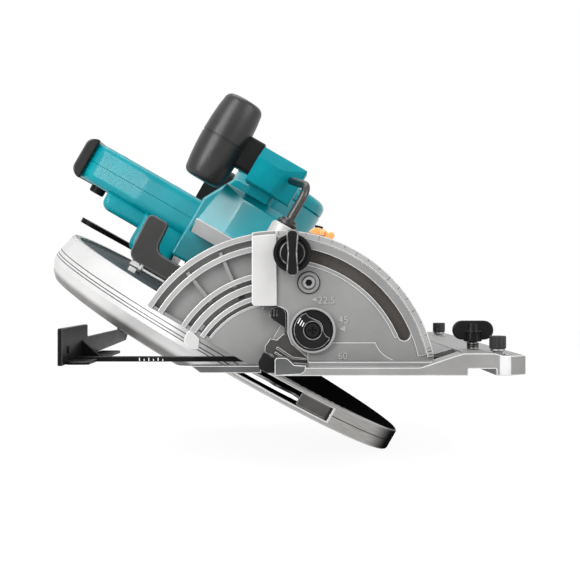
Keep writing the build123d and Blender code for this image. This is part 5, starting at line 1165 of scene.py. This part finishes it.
ticks = [tick(angle, 96.0 if angle % 15 == 0 else 97.6) for angle in range(15, 91, 5)]
ticks += [tick(angle, 96.6, 0.6) for angle in (12.6, 13.9)]
settle(joined(ticks, "scale_ticks"), DARK_CAST, "base", "plate_metal")

# %% [markdown]
# ## Stop numbers
# The stop angles stand up from the plate beside the dial, cast in the mould. Numbers are made as text,
# turned to face forward and made into a mesh, and each of the upper two has an arrow.

# %% Stop numbers
def number_mesh(body, size, x, z, front=PLATE_FRONT, rise=0.5):
    bpy.ops.object.select_all(action="DESELECT")
    bpy.ops.object.text_add()
    words = bpy.context.object
    words.data.body, words.data.size = body, size * MM
    words.data.extrude, words.data.bevel_depth = rise * MM, 0.10 * MM
    bpy.ops.object.convert(target="MESH")
    made = bpy.context.object
    made.data.materials.append(FACE)
    made.data.transform(Matrix.Translation(Vector((x, front, z)) * MM) @ Matrix.Rotation(pi / 2, 4, "X"))
    return made


def arrow(x, z, size):
    corners = [(x, z), (x + size, z + size * 0.5), (x + size, z - size * 0.5)]
    return break_edges(prism("arrow", corners, "Y", PLATE_FRONT + 0.5, PLATE_FRONT - 0.5), 0.12, 1)


marks = [number_mesh("22.5", 6.4, 24.4, 43.4), number_mesh("45", 6.4, 37.4, 31.0), arrow(37.8, 27.4, 4.2),
         number_mesh("60", 6.0, 37.2, 8.4, -191.2), arrow(20.4, 46.0, 3.4)]
settle(joined(marks, "stop_numbers"), CREST_CAST, "base", "plate_metal")

# %% [markdown]
# ## The bevel pointer
# An orange pointer is screwed to the rim of the tilting sector and reads the scale. It is a small moulding
# with a sloped heel, a round nose and a tongue that reaches over the scale. Its front view is laid out along
# the rim and drawn out to its depth, and a foot below joins it to the sector.

# %% Bevel pointer
POINTER_ANGLE, POINTER_R = radians(74.5), 100.0
HEEL = [(-8.2, 0.0), (-7.6, 1.6), (-5.4, 3.9), (-3.0, 4.6), (2.6, 4.1), (3.9, 3.0)]
NOSE = arc_points(2.3, 120, -75, (6.0, 1.9), 12)


def on_rim(points):
    """Turns places along and out from the rim into the front view, at the pointer's angle"""
    c, s = cos(POINTER_ANGLE), sin(POINTER_ANGLE)
    turned = [((POINTER_R + out) * c + along * s, (POINTER_R + out) * s - along * c) for along, out in points]
    return moved(turned, BEVEL_AXIS)


pointer = [
    prism("scale_pointer", on_rim(HEEL + NOSE), "Y", -176.4, -185.2),
    prism("pointer_foot", on_rim(box_outline(-6.5, 6.0, -1.1, 0.8)), "Y", -176.6, -182.9),
    prism("pointer_tongue", on_rim(box_outline(-1.3, 1.3, 0.4, 3.4)), "Y", -185.0, -187.2),
]
pointer = joined([rubbed(part, 0.4, 40) for part in pointer])
settle(pointer, [ORANGE, PALE_ORANGE], "bevel_bracket", "orange_plastic", "bevel_pointer")

# %% [markdown]
# ## The stop dial
# The dial picks one of the stop angles. Half its face is raised to a finger edge that runs in an S past the
# screw. So a turned disc carries a flat lobe whose outline is an arc closed by that S.

# %% Stop dial
LOBE_FRONT = -196
DISC = [(-190.1, 0), (-190.1, 12.6), (-193.1, 12.6), (-193.5, 12.2), (-193.5, 0)]
S_EDGE = [(11.0, -4.6), (8.6, -3.4), (7.2, -1.4), (6.7, 0.6), (6.2, 3.2), (4.6, 5.5), (1.2, 7.2), (-2.4, 8.8),
          (-4.2, 11.2)]

disc = lathe("stop_selector", DISC, "Y", DIAL, 64)
lobe_line = moved(arc_points(11.95, 111, 337, (0, 0), 40) + S_EDGE, DIAL)
lobe = prism("finger_face", lobe_line, "Y", -193.2, LOBE_FRONT)
combine(lobe, prism("hub_well", circle_outline(DIAL, 5.4), "Y", -190, -199))
# The lobe's pale edges are partly wear and partly a painted highlight.
break_edges(lobe, 0.55, 2, at("Y", LOBE_FRONT), 50, worn=True)
settle(joined([disc, lobe]), [BLACK, WORN_EDGE_HIGHLIGHT], "stop_dial", "black_plastic", "stop_dial")

# %% [markdown]
# ## Dial marks and screw
# Three strokes of white paint mark the setting, and a cross-head screw holds the dial. The cross is two
# slots cut one after the other, a cut that the body's screws use again.

# %% Dial marks and screw
STROKES = [(-8.5, 6.0, 3.8), (-7.2, 4.7, 3.5), (-6.0, 3.7, 2.8)]
STROKE_TURN = radians(28)
HUB = [(-189.9, 0), (-189.9, 4.6), (-195.0, 4.6), (-195.5, 4.1), (-195.6, 0)]


def stroke(x, z, length):
    outline = box_outline(-0.32, 0.32, -length / 2, length / 2, 0.2)
    made = prism("stroke", outline, "Y", LOBE_FRONT + 0.1, LOBE_FRONT - 0.1)
    place = Vector((DIAL[0] + x, 0, DIAL[1] + z)) * MM
    made.data.transform(Matrix.Translation(place) @ Matrix.Rotation(STROKE_TURN, 4, "Y"))
    return break_edges(made, 0.05, 1)


def cut_cross(head, axis, centre, arm, half, low, high, radius=0.0):
    for a, b in ((arm, half), (half, arm)):
        slot = moved(box_outline(-a, a, -b, b, radius), centre)
        combine(head, prism("cross", slot, axis, low, high))
    return head


settle(joined([stroke(*values) for values in STROKES], "dial_strokes"), WHITE, "stop_dial", "pale_plate")
hub = cut_cross(lathe("dial_hub", HUB, "Y", DIAL, 40), "Y", DIAL, 2.7, 0.6, -193.8, -197, 0.2)
settle(hub, BLACK, "base", "black_plastic", "dial_screw")

# %% [markdown]
# ## The pawl
# A ribbed pawl beside the dial is what the finger lifts to turn it. It is a hooked plate, and its three
# small ribs keep the finger from slipping.

# %% Pawl
PAWL = [(-5.6, 34.2), (-6.4, 37.6), (-4.2, 40.6), (-1.0, 41.7), (2.2, 41.2), (4.4, 38.0), (5.0, 22.4),
        (3.2, 23.6), (3.0, 28.0)]


def pawl_rib(number):
    left = -5.4 + number * 1.9
    outline = box_outline(left, left + 0.8, 35.4, 40.2 - number * 0.3, 0.3)
    return rubbed(prism("pawl_rib", outline, "Y", -188.4, -189.3), 0.2, segments=1)


pawl = faced("stop_pawl", rounded(PAWL, 0.8), -184.3, -188.6, 0.5)
pawl = joined([pawl] + [pawl_rib(number) for number in range(3)])
# The pawl's pale edges are partly wear and partly a painted highlight.
settle(pawl, [BLACK, WORN_EDGE_HIGHLIGHT], "base", "black_plastic")

# %% [markdown]
# ## The stop screw
# A socket-head screw sets the fine stop. Its cap is turned, with a broken rim, and the hexagon is cut into
# it. A black plate at the bottom of the hole and a black ring round the boss are painted shade, for the depth
# of the socket and for a groove round the boss.

# %% Stop screw
CAP_SCREW = [(-189, 0), (-189, 4.15), (-192.3, 4.15), (-192.9, 3.6), (-192.9, 0)]
BOSS_SHADE_LINE = [(-189.8, 6.6), (-190.2, 6.6), (-190.3, 6.95), (-190.2, 7.3), (-189.8, 7.3), (-189.8, 6.6)]

hexagon = hexagon_outline(STOP, 2.3)
cap_screw = lathe("stop_cap_screw", CAP_SCREW, "Y", STOP, 40)
combine(cap_screw, prism("socket", hexagon, "Y", -190.9, -195))
settle(cap_screw, SATIN_STEEL, "base", "bright_steel", "stop_screw")
# A black ring round the boss: painted shade of its groove
settle(lathe("boss_shade_ring", BOSS_SHADE_LINE, "Y", STOP), BLACK, "base", "black_plastic")
# A black plate in the socket: painted shade of its depth
socket_shade = prism("socket_floor", rounded(hexagon, 0.2), "Y", -190.8, -191.1)
settle(break_edges(socket_shade, 0.05, 1), BLACK, "base", "black_plastic")

# %% [markdown]
# ## The base
# The base is a casting too: a flat sole that rises over a hump to a rail on the right, with the long opening
# for the blade on the left. Its cross-section is drawn out to the full length; opening, pocket, grooves and
# the fence's slot are cut through, the corners are rounded in plan, and every edge left sharp is broken.

# %% Base casting
SECTION = [(-1, 0), (115, 0), (115, 4.3), (132, 4.3), (132, 0), (152, 0), (152, 12), (137, 12), (131, 13.6),
           (112, 13.6), (86, 5), (-1, 5)]
SECTION_ROUND = [0.0, 0.6, 0.6, 0.6, 0.6, 0.0, 1.6, 4.0, 8.0, 11.4, 11.4, 0.0]
CUTS = [
    ("opening", box_outline(-5, 11.5, -156.6, 156.6, 3.0), "Z", -3, 9),
    ("pocket", box_outline(83, 113, -195, -159, 4.0), "Z", 5.02, 20),
    ("bar_slot", box_outline(-173.15, -161.85, 5.65, 8.95, 0.5), "X", 81, 160),
]
CUTS += [("sole_groove", box_outline(x, x + 3.2, -150, 186, 1.5), "Z", 4.2, 9) for x in (24, 40, 56)]
PLAN = {(0, -220): 3.0, (138, -220): 4.0, (152, -210): 3.0, (152, 200): 8.0, (0, 200): 3.0}
CUT_CORNER = (138, -220)

base = prism("base_casting", rounded(SECTION, SECTION_ROUND), "Y", -221, 201)
for cut in CUTS:
    combine(base, prism(*cut))
plan = prism("plan", list(PLAN), "Z", -2, 20)
# The rounding at the cut corner takes the bright edge finish as a painted highlight.
for (x, y), radius in PLAN.items():
    break_edges(plan, radius, 6, both(at("X", x), at("Y", y)), worn=(x, y) == CUT_CORNER)
rubbed(combine(base, plan, "INTERSECT"), 0.55, 55)
print("base casting before its pads:", len(base.data.polygons), "faces")

# %% [markdown]
# ## What stands on the base
# A round pad takes the fence's wing screw, and a plain stem under each rail adjuster carries its thread. All
# three are turned and join the casting. One small slotted screw on the right corner is steel.

# %% Pads and stems
ADJUSTER_X = 136.5
ADJUSTER_Y = {"front": -198, "rear": 95}
PAD = [(10.6, 0), (10.6, 7), (13.2, 7), (13.6, 6.6), (13.6, 0)]
STEM = [(10, 0), (10, 3.1), (18.6, 3.1), (18.6, 0)]
RAIL_SCREW = [(11, 0), (11, 2.6), (12.3, 2.6), (12.7, 2.2), (12.7, 0)]
RAIL_SCREW_AT = (141.6, -205.5)

stems = [lathe("stem", STEM, "Z", (ADJUSTER_X, y), 24) for y in ADJUSTER_Y.values()]
base = joined([base, lathe("screw_pad", PAD, "Z", SCREW_AT)] + stems)
settle(base, [BASE_CAST, EDGE_HIGHLIGHT_CAST], "base", "base_metal", "base_plate")
rail_screw = lathe("rail_screw", RAIL_SCREW, "Z", RAIL_SCREW_AT, 32)
screw_slot = moved(box_outline(-2.0, 2.0, -0.4, 0.4), RAIL_SCREW_AT)
settle(combine(rail_screw, prism("slot", screw_slot, "Z", 12.2, 14)), SATIN_STEEL, "base", "bright_steel")

# %% [markdown]
# ## The corner under the dial
# At the front left corner the base rises in a wedge that guides the plate, with two slanted ribs cast on it,
# and a thin web closes the gap above. They are flat outlines, each drawn out a little further than the one
# behind it.

# %% Corner wedge
WEDGE = [(-9.0, 12.4), (-9.0, 16.4), (-5.4, 21.5), (-1.4, 20.4), (2.6, 24.2), (6.4, 27.0), (8.6, 20.0),
         (18.4, 10.4), (18.4, 5.05), (-2.4, 5.05), (-4.2, 10.8)]
UPPER_RIB = [(-2.0, 15.0), (-0.8, 16.4), (8.8, 9.9), (17.6, 9.0), (17.6, 7.7), (8.2, 8.3)]
LOWER_RIB = [(-3.2, 12.0), (-2.2, 13.2), (9.2, 6.2), (17.6, 5.6), (17.6, 4.8), (8.6, 5.0)]
WEB = [(-6.0, 18.0), (5.0, 36.0), (8.0, 34.0), (8.0, 18.0)]

wedge = [faced("corner_wedge", rounded(WEDGE, 0.8), -184.3, -187.6, 0.45)]
for rib, front in ((UPPER_RIB, -189.6), (LOWER_RIB, -189.2)):
    wedge.append(rubbed(prism("wedge_rib", rib, "Y", -187.3, front), 0.45, 40))
# The wedge's dark grey is painted shade of the recessed corner, and its bright edges are painted highlights.
settle(joined(wedge), [DARK_CAST, BRIGHT_CAST], "base", "base_metal")
web = faced("gap_web", rounded(WEB, 0.6), -184.2, -185.6, 0.3, 1)
settle(web, [CAST, EDGE_HIGHLIGHT_CAST], "base", "plate_metal")

# %% [markdown]
# ## The base's left end
# The corner itself is thickened where the base meets a bench edge first. A narrow tongue of sole reaches out
# left of the blade from there, and a rubber shoe sits beside it.

# %% Corner, sole tongue and shoe
CORNER = [(-2.3, 0.3), (-2.3, 9.6), (-1.2, 10.8), (3.8, 11.0), (5.6, 10.4), (9.6, 6.6), (16.8, 6.2),
          (16.2, 2.6), (13.6, 0.9), (-1.1, 0.1)]
SOLE = [(-55, 4.8), (-49, 0.3), (-11, 0.3), (-11, 4.8)]
SHOE = [(-12.7, 7.3), (-9.6, 12.9), (-3.1, 9.2), (-2.6, 7.2), (-2.6, 0.3), (-7.1, 0.3), (-12.1, 3.0)]

corner = faced("base_corner", rounded(CORNER, 0.5), -203, -220.2, 0.5, angle=30)
settle(corner, [CORNER_CAST, EDGE_HIGHLIGHT_CAST], "base", "base_metal")
sole = rubbed(prism("left_sole", SOLE, "Y", -184.6, -199.5), 0.5, 40)
settle(sole, [CORNER_CAST, BRIGHT_CAST], "base", "base_metal")
shoe = faced("corner_shoe", rounded(SHOE, 0.6), -184.4, -200, 0.5, worn=False)
settle(shoe, BLACK, "base", "black_plastic")

# %% [markdown]
# ## The wing screw
# The fence is held by a wing screw: a cone with flutes round it and a flat wing through it, on a ridged steel
# collar. One flute is modelled and copied round, each copy with its own mesh.

# %% Wing screw
CONE = [(13.7, 0), (13.7, 2.6), (18.6, 2.6), (18.6, 5.2), (19, 5.6), (21, 5.6), (30.2, 4.2), (30.7, 3.7),
        (30.7, 0)]
COLLAR_LOW, COLLAR_TOP, COLLAR_R = 13.75, 18.25, 2.4
COLLAR_RIDGE = [(0, 3.0), (0.4, 3.7), (1.0, 3.7), (1.4, 3.0)]


def copies(piece, moves):
    """A copy of the piece for each matrix, joined"""
    name, made = piece.name, []
    for move in moves:
        twin = piece.copy()
        twin.data = piece.data.copy()
        twin.data.transform(move)
        bpy.context.scene.collection.objects.link(twin)
        made.append(twin)
    bpy.data.objects.remove(piece)
    return joined(made, name)


def round_about(piece, centre, count):
    """Copies of a piece round an upright line"""
    middle = Matrix.Translation(Vector((*centre, 0)) * MM)
    turns = [Matrix.Rotation(2 * pi * n / count, 4, "Z") for n in range(count)]
    return copies(piece, [middle @ turn @ middle.inverted() for turn in turns])


cone = lathe("wing_screw", CONE, "Z", SCREW_AT, 36)
flute = prism("flute", moved(box_outline(4.6, 6.0, -0.55, 0.55, 0.3), SCREW_AT), "Z", 19.0, 25.6)
flutes = round_about(rubbed(flute, 0.25, segments=1), SCREW_AT, 14)
wing_line = box_outline(SCREW_AT[0] - 13.2, SCREW_AT[0] + 13.2, 19.8, 32.2, 6.1)
wings = break_edges(prism("wings", wing_line, "Y", SCREW_AT[1] - 2.6, SCREW_AT[1] + 2.6), 1.1, 3, None, 50)
wing_screw = joined([cone, flutes, wings])
# The flutes' pale edges are partly rubbing and partly a painted highlight.
settle(wing_screw, [BLACK, RUBBED_EDGE_HIGHLIGHT], "fence_wing_screw", "black_plastic", "fence_wing_screw")
ridges = [(z + up, r) for z in (COLLAR_LOW, 15.3, 16.85) for up, r in COLLAR_RIDGE]
collar_line = [(COLLAR_LOW, COLLAR_R)] + ridges + [(COLLAR_TOP, COLLAR_R), (COLLAR_LOW, COLLAR_R)]
settle(lathe("screw_spring", collar_line, "Z", SCREW_AT, 32), SATIN_STEEL, "fence_wing_screw", "bright_steel")

# %% [markdown]
# ## Rail adjusters
# Two knurled knobs set the base on its guide rail without play. Each is a turned head with notches cut round
# it, on a steel washer. The front and rear ones are the same, so one function makes both.

# %% Rail adjusters
HEAD = [(15.5, 0), (15.5, 4.8), (16, 5.25), (23, 5.25), (23.5, 4.8), (23.5, 2.0), (22.9, 1.8), (22.9, 0)]
WASHER = [(13.9, 3.2), (13.9, 4.3), (14.2, 4.6), (15.3, 4.6), (15.6, 4.3), (15.6, 3.2), (13.9, 3.2)]

for end, y in ADJUSTER_Y.items():
    body, place = "rail_adjuster_" + end, (ADJUSTER_X, y)
    head = lathe("adjuster_" + end, HEAD, "Z", place, 60)
    notch = prism("notch", circle_outline((place[0] + 5.5, place[1]), 0.62, 12), "Z", 15.0, 24.0)
    settle(combine(head, round_about(notch, place, 18)), RUBBER, body, "black_plastic", body)
    washer = lathe("adjuster_%s_washer" % end, WASHER, "Z", place, 32)
    settle(washer, SATIN_STEEL, body, "bright_steel")

# %% [markdown]
# ## The rip fence
# The fence is black coated sheet steel: a flat bar that slides through the base, and a long guide plate bent
# up at its end, with a flange, a gusset and a rivet to hold them square. The coating is rubbed through along
# the edges. Short white marks on the bar give the width of cut.

# %% Rip fence
FENCE = [(-219, 5.8), (62, 9.8), (76, 15.8), (58, 20), (-128, 20), (-128, 28.6), (-219, 28.6)]
GUSSET = [(-131.5, 7.5), (-131.5, 19.5), (-118, 7.5)]
RIVET = [(-131.2, 0), (-131.2, 2.6), (-130.2, 2.2), (-129.8, 0)]


def bar_mark(number, x):
    outline = box_outline(x - 0.3, x + 0.3, 6.3, 8.3 - 0.7 * (number % 2))
    return break_edges(prism("bar_mark", outline, "Y", -172.9, -173.1), 0.04, 1)


sheets = [
    prism("fence_plate", rounded(FENCE, [1.0, 2.0, 1.0, 2.0, 2.0, 1.5, 1.5]), "X", -134, -131),
    prism("fence_bar", box_outline(-173, -162, 5.8, 8.8, 0.4), "X", -133.5, 149),
    prism("fence_flange", box_outline(-131.5, -117, -207, -68, 3.0), "Z", 5.8, 7.8),
    prism("fence_gusset", GUSSET, "Y", -150, -146.5),
]
fence = joined([rubbed(sheet, 0.4) for sheet in sheets] + [lathe("fence_rivet", RIVET, "X", (-200, 15), 24)])
settle(fence, [BLACK_STEEL, FENCE_EDGE], "rip_fence", "black_steel", "rip_fence")
bar_marks = joined([bar_mark(number, x) for number, x in enumerate(range(-90, -73, 3))], "bar_marks")
settle(bar_marks, WHITE, "rip_fence", "pale_plate")

# %% [markdown]
# ## The pivot boss
# The pin on which the saw swings for depth leaves the sector through a round boss, with a rubber washer
# under its bend that stops it rattling. Both are turned.

# %% Pivot boss
PIN_AT = (-163.0, 38.0)
BOSS = [(71.5, 3.2), (71.5, 9.4), (90.8, 9.4), (92.0, 8.2), (92.0, 3.2)]
PIN_WASHER = [(92.2, 2.9), (92.2, 6.6), (92.8, 7.2), (94.2, 7.2), (94.8, 6.6), (95.2, 5.4), (96.6, 5.2),
              (97.2, 4.6), (97.2, 2.9)]

settle(lean(lathe("pivot_boss", BOSS, "X", PIN_AT, 40)), BRIGHT_CAST, "bevel_bracket", "plate_metal")
settle(lean(lathe("pin_washer", PIN_WASHER, "X", PIN_AT, 40)), RUBBER, "saw_body", "black_rubber")

# %% [markdown]
# ## The guard's tip
# The swinging guard is a bent channel, open at its leading end. A block riveted between its two rails
# stiffens the window there, and the window's lips are bright strips, partly burnish and partly a painted
# highlight. The block is a slice of ring, set in a little from the rim, and each lip is a thin strip along
# it.

# %% Guard spacer and lips
LIPS = [
    ("guard_lips", -9.9, -8.6, -53.6, 42.8),
    ("right_lip", 1.1, 2.1, -53.6, 42.8),
    ("end_lip", -9.9, 2.1, -53.8, -52.2),
]


def rim_slice(outer, inner, levels):
    """The outline between two radii of the guard, by heights"""
    def at_radius(radius, z):
        return (-sqrt(radius * radius - (z - BLADE_Z / MM) ** 2), z)

    return [at_radius(outer, z) for z in levels] + [at_radius(inner, z) for z in reversed(levels)]


def lip(name, left, right, low, high):
    levels = [low + (high - low) * step / 30 for step in range(31)]
    return break_edges(prism(name, rim_slice(145.25, 143.0, levels), "X", left, right), 0.25, 1, None, 50)


spacer_line = rim_slice(143.4, 138.5, [-51.8 + step * 4.1 for step in range(7)])
spacer = rubbed(prism("guard_spacer", spacer_line, "X", -8.45, 0.95), 0.6)
settle(lean(spacer), [SPACER, SATIN_STEEL], "lower_guard", "guard_metal")
# The lips are bright strips: partly burnish, partly a painted highlight.
settle(lean(joined([lip(*values) for values in LIPS])), LIP_HIGHLIGHT_STEEL, "lower_guard", "guard_metal")

# %% [markdown]
# ## Screws of the body
# The case halves and the handle are held by screws whose heads sit almost level with the moulding, so that
# nothing catches. One head of each kind is turned and its cross or hexagon cut in, and the rest are copies.

# %% Body screws
HANDLE_SCREWS = [(-30, 128), (-24, 176), (92, 172), (134, 158), (140, 128)]
CASE_SCREWS = arc_points(124.8, 62, 146, (0, BLADE_Z / MM), 3)
HANDLE_HEAD = [(79, 0), (79, 3.2), (82.5, 3.2), (82.8, 2.9), (82.9, 0)]
CASE_HEAD = [(-24, 0), (-24, 4.2), (-26.6, 4.2), (-27.2, 3.6), (-27.2, 0)]
ORIGIN = (0, 0)


def copied_to(piece, places):
    return copies(piece, [Matrix.Translation(spot("X", 0, *place)) for place in places])


handle_head = lathe("handle_screws", HANDLE_HEAD, "X", ORIGIN, 32)
cut_cross(handle_head, "X", ORIGIN, 1.8, 0.4, 81.6, 85)
case_head = lathe("case_screws", CASE_HEAD, "X", ORIGIN, 32)
combine(case_head, prism("socket", hexagon_outline(ORIGIN, 2.0), "X", -25.6, -30))
screws = joined([copied_to(handle_head, HANDLE_SCREWS), copied_to(case_head, CASE_SCREWS)])
settle(lean(screws), DARK_STEEL, "saw_body", "bright_steel", "body_screws")

# %% [markdown]
# ## Small parts beside the sector's foot
# Where the sector's rings end, a cast lug takes the hinge bolt. Below it a slim pale strip on the rim of the
# case is a painted highlight of the case's lip, on a black strip that is painted shade. They are flat
# outlines with broken edges.

# %% Sector lug and lip highlight
LUG = [(-60.4, 20.6), (-58.6, 25.4), (-56.0, 26.6), (-50.6, 21.0), (-51.4, 14.0), (-57.0, 14.6),
       (-60.6, 18.0)]
LIP_GLINT_STRIPS = {
    "lip_shade_strip": (2.6, 5.2, -154.0, BLACK, "black_plastic"),
    "lip_glint_strip": (3.2, 4.4, -154.4, WHITE, "pale_plate"),
}

lug = faced("sector_lug", rounded(LUG, 0.8), -179, -183.8, 0.7)
settle(lug, [BRIGHT_CAST, EDGE_HIGHLIGHT_CAST], "bevel_bracket", "plate_metal")
# The pale strip is a painted highlight of the case's lip, and the black strip behind it painted shade.
for name, (left, right, front, finish, slot_name) in LIP_GLINT_STRIPS.items():
    strip = faced(name, box_outline(left, right, 22.6, 34.1, 0.3), -150, front, 0.2, 1, worn=False)
    settle(lean(strip), finish, "saw_body", slot_name)

# %% [markdown]
# ## The battery
# A battery pack is two shells screwed together round its cells, with a seam between them and ribs for the
# fingers on both flanks. The lower shell has the round corners; the upper one carries the rails, and is
# notched for the catch. A core a little smaller than both shows as the dark line of the seam.

# %% Battery
PACK_LOW, PACK_SEAM = 51.7, 83.6
RIB_RISE, RIB_PITCH = 0.9, 12


def battery_rib(side, out, y):
    rib = prism("battery_rib", box_outline(y, y + 6, 57, 80, 2.8), "X", side - out, side + out)
    return break_edges(rib, 0.4, 2, at("X", side + out), 50)


lower = prism("battery_shell", box_outline(44, 120, 64.2, 180, 7.0), "Z", PACK_LOW, PACK_SEAM)
break_edges(lower, 4.0, 4, at("Z", PACK_LOW), 50)
break_edges(lower, 0.8, 2, at("Z", PACK_SEAM), 50)
upper = prism("battery_top", box_outline(45, 119, 64.2, 179.2, 6.0), "Z", 84.8, 111.7)
combine(upper, prism("catch_notch", box_outline(66, 98, 170, 185), "Z", 97.7, 115))
break_edges(upper, 0.8, 2, None, 50)
core = prism("battery_core", box_outline(46.4, 117.6, 66, 177.8, 5.0), "Z", 83, 86)
rails = prism("battery_rails", box_outline(62, 102, 68, 152, 1.0), "Z", 111.5, 116.0)
break_edges(rails, 0.5, 1, None, 50)
flanks = ((120.0, RIB_RISE), (44.0, -RIB_RISE))
ribs = [battery_rib(side, out, 92 + number * RIB_PITCH) for side, out in flanks for number in range(6)]
settle(lean(joined([lower, upper, core, rails] + ribs)), PACK, "battery", "black_plastic", "battery_pack")

# %% [markdown]
# ## The charge gauge
# A small glossy window at the back of the pack has four lights and a button. The window is a thin plate, and
# the lights are clear plastic that stand just proud of it.

# %% Charge gauge
gauge = faced("charge_gauge", box_outline(66, 98, 60, 68, 2.0), 179.6, 180.5, 0.3, 1, worn=False)
settle(lean(gauge), GLOSS_BLACK, "battery", "black_plastic")
lights = []
for x in range(76, 96, 5):
    lights.append(prism("light", box_outline(x, x + 3, 62.4, 65.6, 0.6), "Y", 180.3, 180.7))
lights.append(prism("gauge_button", circle_outline((70.6, 64), 2.2, 24), "Y", 180.3, 181.0))
lights = joined([break_edges(light, 0.15, 1, None, 50) for light in lights], "gauge_lights")
settle(lean(lights), LENS, "battery", "pale_plate")

# %% [markdown]
# ## The rear quadrant
# Behind the blade a smaller quadrant carries the other end of the bevel hinge. It is cast like the front
# plate, with its own curved slot and foot, and its edges are broken in the same way.

# %% Rear quadrant
REAR_R = 56
REAR_FROM, REAR_TO = degrees(asin(15 / REAR_R)), degrees(acos(-24 / REAR_R))

rear_line = rounded([(-24, 18), (17, 18), (17, 5), (54, 5)], [1.5, 4.0, 0.0, 0.0])
rear_line += arc_points(REAR_R, REAR_FROM, REAR_TO, steps=48)
quadrant = prism("rear_quadrant", rear_line, "Y", 171, 177)
combine(quadrant, arc_slot("rear_track", 45, 2.9, 47, 110, 169, 180))
rear_foot = prism("rear_foot", box_outline(17, 51.5, 176.5, 195, 2.0), "Z", 5, 8)
rear_rim = band("rear_rim", 50.5, REAR_R + 0.05, REAR_FROM, REAR_TO, 176.5, 178.6)
quadrant = joined([rubbed(part, 0.5) for part in (quadrant, rear_foot, rear_rim)])
settle(quadrant, [CAST, EDGE_HIGHLIGHT_CAST], "base", "plate_metal", "rear_angle_plate")
